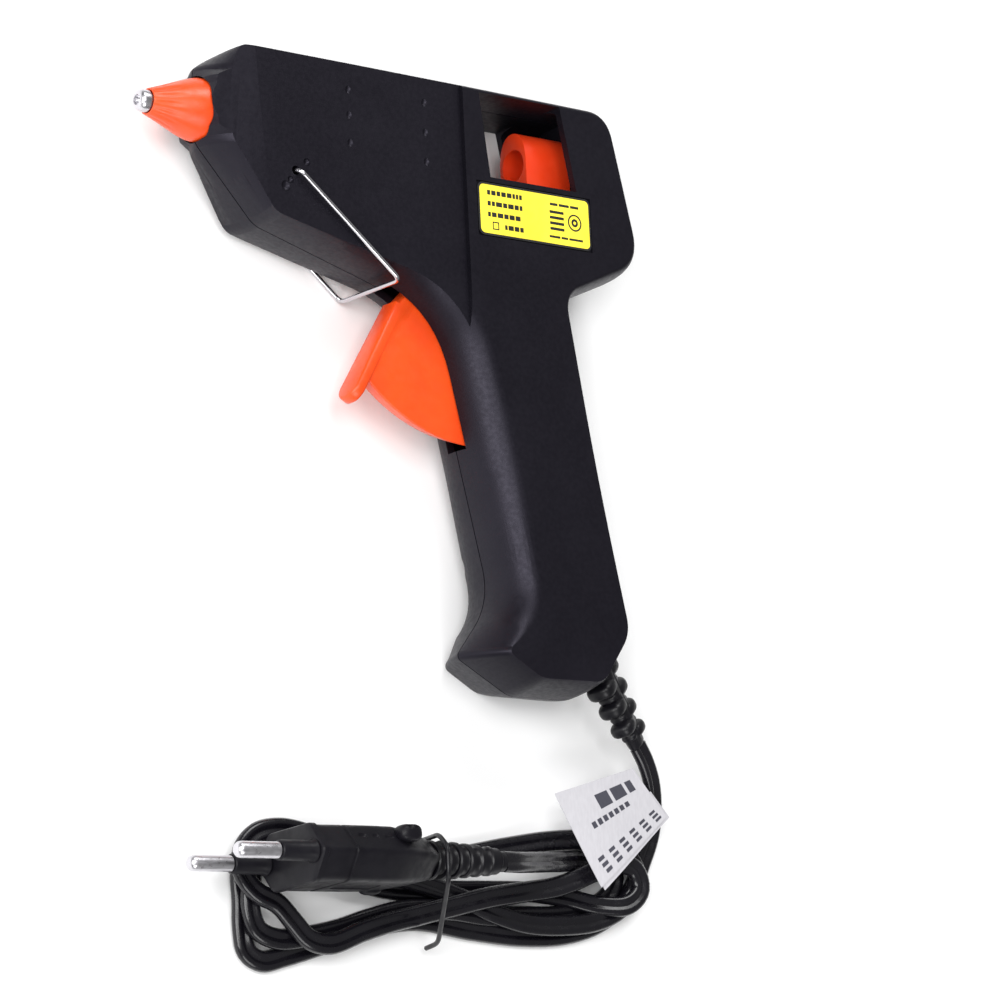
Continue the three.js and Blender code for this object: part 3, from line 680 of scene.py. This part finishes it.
def casing_inside(is_left, form):
    """The ribs, rail, posts and bosses of a half, trimmed to its outer form."""
    parts = [
        rib(-49.5, 30, 80, 7), rib(-21, 30, 80, 7), rib(5, 54, 80, 6.4),
        rib(19.6, 53, 80, 4.8), rib(60, 40, 80, 4.8),
        box("rail", (29, 51.3, 6.3), (58, 52.6, HALF)),
        post("pivot", *TRIGGER_PIVOT, 4, WEB_HALF + 0.6, HALF),
        post("stand_boss", *STAND_PIVOT, 2.8, 5, HALF, 32),
    ]
    boss = 3.2 if is_left else 4.2
    parts += [post("boss", x, y, boss, GAP / 2, HALF, 32) for x, y in SCREW_PLACES]
    inside = combine(parts[0], parts[1:], "UNION")
    return combine(inside, [copy_of(form)], "INTERSECT")


def relief_hole(is_left):
    """The hole of the strain relief, seen from the parting plane of either half."""
    hole = on_relief(piece_along("relief_hole", 4.5, -2, 20))
    hole.data.transform(Matrix.Translation((0, 0, -HALF * MM)))
    if not is_left:
        mirror(hole)
    return hole


def mirror(thing):
    """Mirrors a piece in the plane of z = 0."""
    thing.data.transform(Matrix.Scale(-1, 4, (0, 0, 1)))
    outward(thing)


def flank_marks():
    """The left flank's seat for the label, six dimples, and three pits around the stand's hole."""
    marks = [box("label_seat", (19.9, 37.9, HALF - 0.5), (57.7, 52.5, HALF + 1))]
    for x, heights in DIMPLES:
        marks += [lobe("dimple", (x, y, barrel_flank(x) + 1.4), (1.25, 1.75, 1.9)) for y in heights]
    for dx, dy, size in STAND_PITS:
        x = STAND_PIVOT[0] + dx
        centre = (x, STAND_PIVOT[1] + dy, barrel_flank(x) + 0.5)
        marks.append(lobe("pit", centre, (size, size, 1.3)))
    return marks


def casing_cuts(is_left):
    """Everything that is cut from a half once its inside is in place."""
    cuts = [
        bar("nozzle_hole", 8.35, -62, -50.5, z=0, sides=72),
        bar("inlet_hole", 4.6, 58, 80, z=0),
        prism("window", WINDOW, -2, HALF + PAST),
        prism("slot", TRIGGER_SLOT, -2, WEB_HALF + 0.5),
        post("stand_hole", *STAND_PIVOT, STAND_SPACE + GAP, -1, HALF + 1, 28),
        relief_hole(is_left),
    ]
    if is_left:
        cuts += flank_marks()
        cuts += [post("pilot_hole", x, y, SCREW_HOLE, -1, 9, 24) for x, y in SCREW_PLACES]
    else:
        for x, y in SCREW_PLACES:
            cuts.append(post("screw_hole", x, y, SCREW_HOLE, -1, HALF + 1, 24))
            cuts.append(post("counterbore", x, y, 2.9, HALF - SCREW_SEAT, HALF + 1, 36))
    return cuts


def casing_half(name, is_left):
    """A half with its parting plane at z = 0 and its flank upwards."""
    outer = case_half(name, 0, GAP / 2, HALF, 10, 12)
    combine(outer, [barrel_relief(0), nose_bevel(0)])
    hollow = case_half("hollow", WALL, -1, HALF - WALL, 4, 5)
    combine(hollow, [barrel_relief(WALL), nose_bevel(WALL)])
    inside = casing_inside(is_left, outer)
    combine(outer, [hollow])
    combine(outer, [inside], "UNION")
    return combine(outer, casing_cuts(is_left))


def piece_along(name, radius, start, end):
    """A round bar along +Y."""
    return loft(name, [[(x, y, z) for x, z in circle(radius, 40)] for y in (start, end)])


def make_casing():
    for side in ("left", "right"):
        half = casing_half(f"{side}_casing", side == "left")
        if side == "right":
            mirror(half)
        half.data.transform(Matrix.Translation((0, 0, HALF * MM)))
        outward(half)
        soften(half, 0.35, 2, 38)
        smooth(half, 30, even=True)
        dress(half, CASING, "gun", "casing", f"{side}_shell")


def make_screws():
    """Four screws up the right half's counterbores, heads down, with crossed slots."""
    profile = [
        (0.6, SCREW_SEAT - 2.3), (1.7, SCREW_SEAT - 2.2), (2.4, SCREW_SEAT - 1.6),
        (2.6, SCREW_SEAT - 0.9), (2.6, SCREW_SEAT), (1.45, SCREW_SEAT), (1.45, 20.4), (0.5, 21.4),
    ]
    for number, (x, y) in enumerate(SCREW_PLACES, 1):
        screw = loft(f"black_screw_{number}", [
            [(px, py, z) for px, py in circle(radius, 32, x, y)] for radius, z in profile
        ])
        combine(screw, [
            box("slot", (x - a, y - b, SCREW_SEAT - 3), (x + a, y + b, SCREW_SEAT - 1.3))
            for a, b in ((1.5, 0.3), (0.3, 1.5))
        ])
        dress(smooth(screw, 34), BLACK_STEEL, "gun", "steel", f"casing_screw_{number}")


make_casing()
make_screws()

# ------------------------------------------------------------------ rating label


def rounded_box(name, low, high, corner, bottom, top):
    """A thin plate with round corners."""
    (x0, y0), (x1, y1) = low, high
    outline = []
    for cx, cy, start in (
        (x1 - corner, y1 - corner, 0), (x0 + corner, y1 - corner, 90),
        (x0 + corner, y0 + corner, 180), (x1 - corner, y0 + corner, 270),
    ):
        for k in range(7):
            turn = math.radians(start + 15 * k)
            outline.append((cx + corner * math.cos(turn), cy + corner * math.sin(turn)))
    return prism(name, outline, bottom, top)


def ring_mark(name, x, y, outer, inner, bottom, top, sides):
    """A flat ring; four sides make a square outline."""
    turn = math.pi / sides
    rings = []
    for radius, z in ((outer, bottom), (outer, top), (inner, top), (inner, bottom)):
        rings.append([
            (x + radius * math.cos(turn + 2 * math.pi * i / sides),
             y + radius * math.sin(turn + 2 * math.pi * i / sides), z)
            for i in range(sides)
        ])
    return loft(name, rings, closed=True)


def label_bars():
    """Plain bars in place of the label's print, as (low corner, high corner)."""
    bars = []
    draw = random.Random(3)
    for row, y in enumerate((49.6, 46.7, 43.8, 40.9)):
        x, end = (23.2, 34.6) if row < 3 else (28.6, 34.8)
        while x < end - 0.8:
            width = min(draw.uniform(0.7, 2.0), end - x)
            bars.append(((x, y - 0.62), (x + width, y + 0.62)))
            x += width + 0.35
    bars += [((x, 49.0), (x + width, 49.7)) for x, width in ((43.9, 2.6), (46.9, 3.4), (50.7, 2.8))]
    bars += [((x, 40.3), (x + width, 40.9)) for x, width in ((43.3, 3.6), (47.3, 2.2), (49.9, 4.6))]
    bars += [((43.7, y), (48.4, y + 0.75)) for y in (42.4, 43.9, 45.4, 46.9)]
    return bars


def make_label():
    """A dark border, a yellow face that stands just proud of it, and the print on the face."""
    film = rounded_box("label_border", (20.2, 38.2), (57.4, 52.2), 1.7, 26.8, 27.04)
    dress(film, INK, "gun", "label_film", "rating_label")
    face = rounded_box("label_face", (20.75, 38.75), (56.85, 51.65), 1.3, 27.03, 27.08)
    dress(face, LABEL, "gun", "label_film")
    bottom, top = 27.07, 27.11
    pieces = [rounded_box("mark", low, high, 0.12, bottom, top) for low, high in label_bars()]
    for x, y, outer, inner, sides in ((25.6, 40.9, 1.5, 1.05, 4), (52.0, 45.2, 2.3, 1.85, 32),
                                      (52.0, 45.2, 1.1, 0.45, 32)):
        pieces.append(ring_mark("mark", x, y, outer, inner, bottom, top, sides))
    dress(merge("label_print", pieces), INK, "gun", "label_film")


def merge(name, pieces):
    """Puts separate bodies into one object."""
    work = bmesh.new()
    for part in pieces:
        work.from_mesh(part.data)
        bpy.data.objects.remove(part)
    mesh = bpy.data.meshes.new(name)
    work.to_mesh(mesh)
    work.free()
    made = bpy.data.objects.new(name, mesh)
    bpy.context.scene.collection.objects.link(made)
    return made


make_label()

# ------------------------------------------------------------------ nozzle

NOZZLE_SIDES = 144


def fluted_ring(x, radius, depth):
    """A ring of the orange cone; 14 shallow flutes fade in and out along it."""
    ring = []
    for i in range(NOZZLE_SIDES):
        turn = 2 * math.pi * i / NOZZLE_SIDES
        r = radius - depth * (0.5 + 0.5 * math.cos(14 * turn)) ** 2
        ring.append((x, AXIS_Y + r * math.cos(turn), HALF + r * math.sin(turn)))
    return ring


def make_nozzle():
    """The orange cone and the metal tip, each a closed turned shell around the glue's way."""
    outer = [
        (3.15, -71.4), (3.35, -71.3), (3.5, -70.9), (3.95, -69.6), (4.7, -67.4), (5.35, -65.6),
        (6.1, -63.6), (6.75, -61.9), (7.25, -60.4), (7.6, -59.2), (7.8, -58.3), (7.9, -57.4),
        (8, -56.6), (8, -54.8),
    ]
    inner = [(3.8, -54.8), (3.8, -66.4), (2.9, -68.6), (2.9, -71.3)]
    rings = [fluted_ring(x, radius, 0.26 * max(0.0, 1 - abs(x + 67.6) / 3.6)) for radius, x in outer]
    rings += [fluted_ring(x, radius, 0.0) for radius, x in inner]
    cone = loft("nozzle_cone", rings, closed=True)
    dress(smooth(cone, 40), ORANGE, "gun", "orange_plastic", "nozzle_sleeve")
    tip_profile = [
        (0.7, -73.0), (1.25, -73.6), (1.3, -74.4), (1.5, -74.5), (2.2, -74.3), (2.65, -73.8),
        (2.8, -73.1), (2.8, -71.7), (2.5, -71.5), (2.5, -68.8), (3.4, -66), (3.4, -50.3), (0.7, -50.3),
    ]
    tip = turned("nozzle_metal_tip", tip_profile, 72, closed=True)
    dress(smooth(tip, 40), STEEL, "gun", "steel", "nozzle_tip")


make_nozzle()

# ------------------------------------------------------------------ trigger and pusher

FORK_HALF = 1.8
ARCH_POWER = 2 / 2.3
# Depth into the pad and how much its outline shrinks there, which rounds its edges.
PAD_EDGES = (
    (0, 0.7), (0.25, 0.25), (0.7, 0),
    (PAD_THICKNESS - 0.7, 0), (PAD_THICKNESS - 0.25, 0.25), (PAD_THICKNESS, 0.7),
)


def trigger_blade():
    """The blade with its lower edge on a circle about the pivot, drafted towards the right flank."""
    px, py = TRIGGER_PIVOT
    start = math.atan2(-1.6 - py, -9.6 - px)
    end = math.radians(-84)
    outline = [(1.4, 20.2), (-11, -1.2)]
    for k in range(33):
        turn = start + (end - start) * k / 32
        outline.append((px + TRIGGER_SWEEP * math.cos(turn), py + TRIGGER_SWEEP * math.sin(turn)))
    outline += [(30, 30), (18, 36)]
    drafted = []
    for x, y in outline:
        draft = 0.95 if math.hypot(x - px, y - py) > 40 else 1.0
        drafted.append((px + (x - px) * draft, py + (y - py) * draft))
    low, high = HALF - WEB_HALF, HALF + WEB_HALF
    blade = loft("trigger_body", [[(x, y, low) for x, y in drafted], [(x, y, high) for x, y in outline]])
    return soften(blade, 0.9, 3, 30)


def trigger_pad():
    """The finger pad along the blade's front, wider and round at its lower end."""
    run = Vector(PAD_BOTTOM) - Vector(PAD_TOP)
    along = run.normalized()
    into = Vector((-along.y, along.x))
    straight = run.length - 4
    side = [(0, -WEB_HALF), (straight, -PAD_HALF)]
    for k in range(1, 12):
        turn = math.radians(-90 + 15 * k)
        side.append((straight + 4 * math.cos(turn), PAD_HALF * math.sin(turn)))
    side += [(straight, PAD_HALF), (0, WEB_HALF)]
    rings = []
    for depth, shrink in PAD_EDGES:
        ring = []
        for a, w in side:
            place = Vector(PAD_TOP) + along * min(a, run.length - shrink) + into * depth
            ring.append((place.x, place.y, HALF + math.copysign(max(abs(w) - shrink, 0), w)))
        rings.append(ring)
    return loft("pad", rings)


def trigger_fork():
    """The open slot that takes the pusher's pin."""
    px, py = TRIGGER_PIVOT
    fork = [(px + FORK_HALF, 55), (px - FORK_HALF, 55)]
    for k in range(17):
        turn = math.pi + math.pi * k / 16
        fork.append((px + FORK_HALF * math.cos(turn), py + TRIGGER_ARM + FORK_HALF * math.sin(turn)))
    return prism("fork", fork, 0, 2 * HALF)


def make_trigger():
    px, py = TRIGGER_PIVOT
    low, high = HALF - WEB_HALF, HALF + WEB_HALF
    body = trigger_blade()
    arm = prism("arm", [(px - 2.5, 30), (px + 2.5, 30), (px + 2.5, 52.2), (px - 2.5, 52.2)], low, high)
    combine(body, [trigger_pad(), arm, post("hub", px, py, 5, low, high)], "UNION")
    combine(body, [trigger_fork(), post("pin_hole", px, py, 1.8, 0, 2 * HALF)])
    dress(smooth(body, 40), ORANGE, "trigger", "orange_plastic", "trigger")


def pusher_arch():
    """The ring's outline across the stick: straight feet under a squared half circle."""
    half_width, height, foot = 5.4, 8.8, 58
    arch = [(HALF + half_width, 55), (HALF + half_width, foot)]
    for k in range(49):
        turn = math.pi * k / 48
        across = squared(math.cos(turn), ARCH_POWER) * half_width
        arch.append((HALF + across, AXIS_Y + height * math.sin(turn) ** ARCH_POWER))
    return arch + [(HALF - half_width, foot), (HALF - half_width, 55)]


def make_pusher():
    """The ring in the window, a neck, and a runner that ends clear of the rear screw's boss."""
    front, rear, low, high = 43.4, 58.0, HALF - 5.2, HALF + 5.2
    body = loft("pusher_body", [[(x, y, z) for z, y in pusher_arch()] for x in (front, rear)])
    neck = box("neck", (front, 50.6, low), (rear, 56, high))
    runner = box("runner", (15.8, 46, low), (56.8, 51, high))
    combine(body, [neck, runner], "UNION")
    combine(body, [
        box("arm_slot", (18.8, 45, HALF - 3.5), (front, 52, HALF + 3.5)),
        bar("bore", 4.35, front - 1, rear + 1),
        post("pin_hole", TRIGGER_PIVOT[0], TRIGGER_PIVOT[1] + TRIGGER_ARM, 1.55, 0, 2 * HALF, 32),
    ])
    soften(body, 1.1, 4, 40)
    # The pusher takes the copy of the orange plastic with painted shade, redder and darker than the
    # trigger.
    dress(smooth(body, 40), ORANGE_PAINTED_SHADE, "pusher", "orange_plastic", "pusher_carriage")


make_trigger()
make_pusher()

# ------------------------------------------------------------------ wire stand


def make_stand():
    px, py = STAND_PIVOT
    kx, ky = STAND_KNEE
    low, high = STAND_SPACE, 2 * HALF - STAND_SPACE
    corners = [
        (px, py, high - 6), (px, py, high), (kx, ky, high),
        (kx, ky, low), (px, py, low), (px, py, low + 6),
    ]
    wire = sweep("stand_wire", bent(corners, 2.2, 12), circle(STAND_WIRE, 20))
    dress(smooth(wire, 60), WIRE, "stand", "steel", "wire_stand")


make_stand()

# ------------------------------------------------------------------ strain relief of the cord


def relief_core():
    """The oval core: place along it, half width and half thickness."""
    length = (RELIEF_END - RELIEF_START).length
    profile = (
        (0.3, 3.9, 3.9), (12, 3.9, 3.7), (24, 3.7, 2.9), (30, 3.4, 2.4),
        (length - 0.6, 3.2, 2.0), (length, 2.9, 1.7),
    )
    rings = [[(a * x, y, b * z) for x, z in circle(1.0, 40)] for y, a, b in profile]
    return loft("cord_strain_relief", rings)


def make_relief():
    """A core with knobs that take turns left and right and shrink towards the cord."""
    body = relief_core()
    lumps = [piece_along("collar", 4.9, 2.5, 4.5)]
    for i in range(7):
        y = 12.4 + i * 3.1
        side = 1 if i % 2 else -1
        x = side * (2.7 - i * 0.12)
        size = 4.1 - i * 0.14
        big = (size, size * 0.6, 4.0 - i * 0.15)
        small = (size * 0.55, size * 0.36, 3.0 - i * 0.15)
        lumps.append(lobe("knob", (x, y, 0), big, 0.72, 32, 16))
        lumps.append(lobe("knob", (-x * 0.8, y + 0.2, 0), small, 0.8, 24, 12))
    combine(body, lumps, "UNION")
    dress(smooth(on_relief(body), 50), RUBBER, "gun", "cord_pvc", "strain_relief")
    return body


relief = make_relief()

# ------------------------------------------------------------------ plug

PLUG_PLACE = (
    Matrix.Translation(Vector((-43.4, -123.1, 22.4)) * MM)
    @ Matrix.Rotation(math.radians(1.2), 4, "Z")
    @ Matrix.Rotation(math.radians(1.5), 4, "Y")
    @ Matrix.Rotation(math.radians(-93), 4, "X")
)
PLUG_LENGTH = 66.0
PIN_SPACING = 19.0


def on_plug(thing):
    """Puts a piece made with its face at the origin and its cord towards +X where the plug lies."""
    thing.data.transform(PLUG_PLACE)
    return thing


def plug_ring(x, half_width, half_thick):
    """The plug's six-sided section with rounded corners."""
    flat = half_width - 5
    corners = [
        (-half_width, 0), (-flat, -half_thick), (flat, -half_thick),
        (half_width, 0), (flat, half_thick), (-flat, half_thick),
    ]
    return [(x, p.x, p.y) for p in rounded_ring(corners, [1.3] * 6, 5)]


def plug_moulding():
    """The plug's body by place from its face, half width and half thickness, with knob and panel."""
    profile = [
        (0, 12.7, 6.4), (0.25, 13.2, 6.9), (0.7, 13.5, 7.15), (2.0, 13.5, 7.15), (2.3, 13.15, 6.8),
        (10.0, 13.15, 6.85), (10.25, 12.8, 6.5), (10.9, 12.8, 6.5), (11.15, 13.15, 6.85),
        (20, 12.95, 6.9), (26, 12.4, 6.9), (31, 11.0, 6.6), (36, 8.8, 6.0), (40, 7.0, 5.3),
        (41.4, 6.3, 5.0), (41.9, 5.9, 4.6),
    ]
    body = loft("plug_moulding", [plug_ring(*row) for row in profile])
    combine(body, [
        lobe("knob", (28.6, -10.2, 4.6), (3.4, 2.6, 2.2), 0.7, 36, 14),
        lobe("lug", (29.0, 7.0, -6.2), (3.2, 1.6, 1.4), 0.8),
    ], "UNION")
    combine(body, [
        lobe("notch", (14.5, -11.0, 4.2), (1.5, 1.2, 1.0), 0.6),
        lobe("notch", (18.6, -11.0, 4.2), (1.2, 1.2, 1.0), 0.6),
        lobe("notch", (23.0, -10.6, 4.2), (1.8, 0.8, 1.0), 0.6),
        lobe("dish", (28.6, -11.9, 6.2), (1.6, 1.4, 1.3), 0.8),
        lobe("panel", (19.0, 0.0, -7.3), (6.2, 3.0, 0.75), 0.25, 32, 14),
    ])
    dress(smooth(on_plug(body), 26), PLUG, "gun", "plug_plastic", "plug_body")
    return body


def plug_neck():
    """The plug's own strain relief, with five rings that shrink towards the cord."""
    profile = [(0.5, 42.3), (4.6, 42.3), (4.9, 42.6), (4.9, 43.0)]
    for i in range(5):
        x, size = 44.4 + i * 3.6, 4.9 - i * 0.3
        profile += [
            (3.5, x - 0.9), (3.4, x - 0.4), (3.4, x + 1.0), (3.6, x + 1.35), (size - 0.35, x + 1.4),
            (size, x + 1.75), (size, x + 2.5), (size - 0.3, x + 2.7),
        ]
    end = PLUG_LENGTH
    profile += [(3.3, end - 2.2), (2.7, end - 1.6), (2.6, end), (0.5, end)]
    neck = turned("plug_neck", profile, 56, 0, 0)
    dress(smooth(on_plug(neck), 34), RUBBER, "gun", "cord_pvc", "plug_relief")
    return neck


def plug_pin(number, y):
    """One pin with its insulating sleeve; both profiles are (radius, x)."""
    sleeve_profile = [
        (0.5, -10.5), (2.2, -10.5), (2.45, -10.2), (2.5, -9.6),
        (2.5, -1.2), (2.9, -0.6), (2.9, -0.3), (0.5, -0.3),
    ]
    pin_profile = [
        (0.2, -23), (0.9, -22.9), (1.5, -22.6), (1.85, -22.1),
        (2.0, -21.4), (2.0, -10.8), (0.2, -10.8),
    ]
    sleeve = turned(f"plug_pin_sleeve_{number}", sleeve_profile, 40, y, 0)
    dress(smooth(on_plug(sleeve), 34), PLUG, "gun", "plug_plastic", f"plug_sleeve_{number}")
    pin = turned(f"plug_metal_pin_{number}", pin_profile, 40, y, 0)
    dress(smooth(on_plug(pin), 40), NICKEL, "gun", "steel", f"plug_pin_{number}")
    return [sleeve, pin]


def make_plug():
    made = [plug_moulding(), plug_neck()]
    made += plug_pin(1, -PIN_SPACING / 2)
    made += plug_pin(2, PIN_SPACING / 2)
    return made


plug = make_plug()

# ------------------------------------------------------------------ wire tie

TIE_CORNERS = (
    (8.6, -116.6, 0.9), (5.4, -115.9, 11), (-0.2, -116.3, 25), (-1.4, -119.8, 29.8),
    (-1.4, -127.4, 29.8), (10.8, -141.0, 8.6), (11.8, -141.6, 2.4),
)


def make_tie():
    """A stiff wire from the floor over the plug and the hank, and down on the other side."""
    wire = sweep("tie_wire", bent(TIE_CORNERS, 2.5), circle(0.62, 14))
    dress(smooth(wire, 60), RUBBER, "gun", "cord_pvc", "twist_tie")
    return wire


tie = make_tie()

# ------------------------------------------------------------------ paper tag

TAG_CORNERS = ((48.7, -102.3), (76.2, -94.4), (87.4, -106.6), (62.6, -126.0))
TAG_HEIGHT = 10.1


def tag_point(s, t, lift):
    """A point of the tag: s runs along its upper edge and t towards its lower edge."""
    a, b, c, d = (Vector(corner) for corner in TAG_CORNERS)
    p = a.lerp(b, s).lerp(d.lerp(c, s), t)
    wave = 0.55 * math.sin(3.4 * s + 1.1 * t) + 0.8 * (1 - s) ** 2 * (1 - t) + 0.5 * t**3 * (1 - s)
    return (p.x, p.y, TAG_HEIGHT + wave + lift)


def sheet_patch(name, s_range, t_range, bottom, top, across=20, down=20):
    """A curved patch of the tag with some thickness."""
    layers = []
    for lift in (bottom, top):
        for j in range(down + 1):
            for i in range(across + 1):
                s = s_range[0] + (s_range[1] - s_range[0]) * i / across
                t = t_range[0] + (t_range[1] - t_range[0]) * j / down
                layers.append(tag_point(s, t, lift))
    count = (across + 1) * (down + 1)
    faces = []
    for j in range(down):
        for i in range(across):
            a = j * (across + 1) + i
            square = (a, a + 1, a + across + 2, a + across + 1)
            faces.append(tuple(reversed(square)))
            faces.append(tuple(count + k for k in square))
    edge = list(range(across + 1))
    edge += [j * (across + 1) + across for j in range(1, down + 1)]
    edge += [down * (across + 1) + i for i in range(across - 1, -1, -1)]
    edge += [j * (across + 1) for j in range(down - 1, 0, -1)]
    for a, b in zip(edge, edge[1:] + edge[:1]):
        faces.append((a, b, count + b, count + a))
    made = piece(name, layers, faces)
    outward(made)
    return made


def tag_marks():
    """Plain bars in place of the tag's print: three blocks, a row of dashes and a grid."""
    marks = [((s0, s1), (0.16, 0.34)) for s0, s1 in ((0.40, 0.56), (0.60, 0.76), (0.80, 0.88))]
    for k in range(7):
        marks.append(((0.22 + 0.075 * k, 0.27 + 0.075 * k), (0.42, 0.49)))
    for k in range(6):
        for row in range(3):
            start = 0.1 + 0.15 * k + 0.012 * row
            marks.append(((start, start + 0.075), (0.76 + row * 0.07, 0.80 + row * 0.07)))
    return marks


def make_tag():
    front = sheet_patch("paper_tag", (0, 1), (0, 1), 0, 0.22)
    dress(smooth(front, 40), PAPER, "gun", "paper_tag", "cord_tag")
    back = sheet_patch("paper_tag_back", (0.03, 1.03), (0.5, 1.05), -0.45, -0.25)
    dress(smooth(back, 40), PAPER, "gun", "paper_tag")
    pieces = [sheet_patch("mark", s, t, 0.2, 0.27, 4, 4) for s, t in tag_marks()]
    print_work = merge("tag_print", pieces)
    dress(smooth(print_work, 40), GREY_INK, "gun", "paper_tag")
    return [front, back, print_work]


tag = make_tag()

# ------------------------------------------------------------------ kept CAD nodes

KEPT = {
    "melt_chamber": ALUMINIUM,
    "ptc_heater": CERAMIC,
    "heater_contact_live": BRASS,
    "heater_contact_neutral": BRASS,
    "heater_clip": STEEL,
    "inlet_sleeve": SILICONE,
    "sleeve_clamp": STEEL,
    "pusher_pin": STEEL,
    "trigger_pin": STEEL,
    "return_spring": STEEL,
    "wire_live": BROWN,
    "wire_neutral": BLUE,
    "cord_clamp": CASING,
    "clamp_screw_1": STEEL,
    "clamp_screw_2": STEEL,
}
for name, material in KEPT.items():
    nodes[name].data.materials.clear()
    nodes[name].data.materials.append(material)

# ------------------------------------------------------------------ floor and light


def make_floor():
    half = 2000
    corners = [(-half, -half, 0), (half, -half, 0), (half, half, 0), (-half, half, 0)]
    floor = piece("floor", corners, [(0, 1, 2, 3)])
    paint = Paint("floor_paint", (0.95, 0.95, 0.95), 0.7)
    paint.vary_colour(paint.noise(4, 2), (0.94, 0.94, 0.94))
    floor.data.materials.append(paint.material)


def make_light(name, place, aim, size, power):
    data = bpy.data.lights.new(name, "AREA")
    data.shape = "RECTANGLE"
    data.size, data.size_y = size
    data.energy = power
    light = bpy.data.objects.new(name, data)
    bpy.context.scene.collection.objects.link(light)
    light.location = place
    light.rotation_mode = "QUATERNION"
    light.rotation_quaternion = (Vector(aim) - Vector(place)).to_track_quat("-Z", "Y")


def make_world():
    world = bpy.data.worlds.new("studio")
    world.use_nodes = True
    background = world.node_tree.nodes["Background"]
    background.inputs["Color"].default_value = (1, 1, 1, 1)
    background.inputs["Strength"].default_value = 0.24
    bpy.context.scene.world = world
    bpy.context.scene.view_settings.view_transform = "Standard"


make_floor()
make_world()
make_light("key", (-1.05, -0.10, 0.80), (0.0, -0.02, 0.0), (0.8, 0.8), 14)
make_light("front", (-0.25, -1.20, 0.85), (0.0, -0.03, 0.0), (0.9, 0.7), 8.5)
make_light("top", (-0.42, 0.10, 1.10), (0.0, 0.0, 0.0), (0.5, 0.5), 5)
make_light("back", (0.15, 1.15, 1.0), (0.0, 0.0, 0.0), (0.9, 0.6), 11)
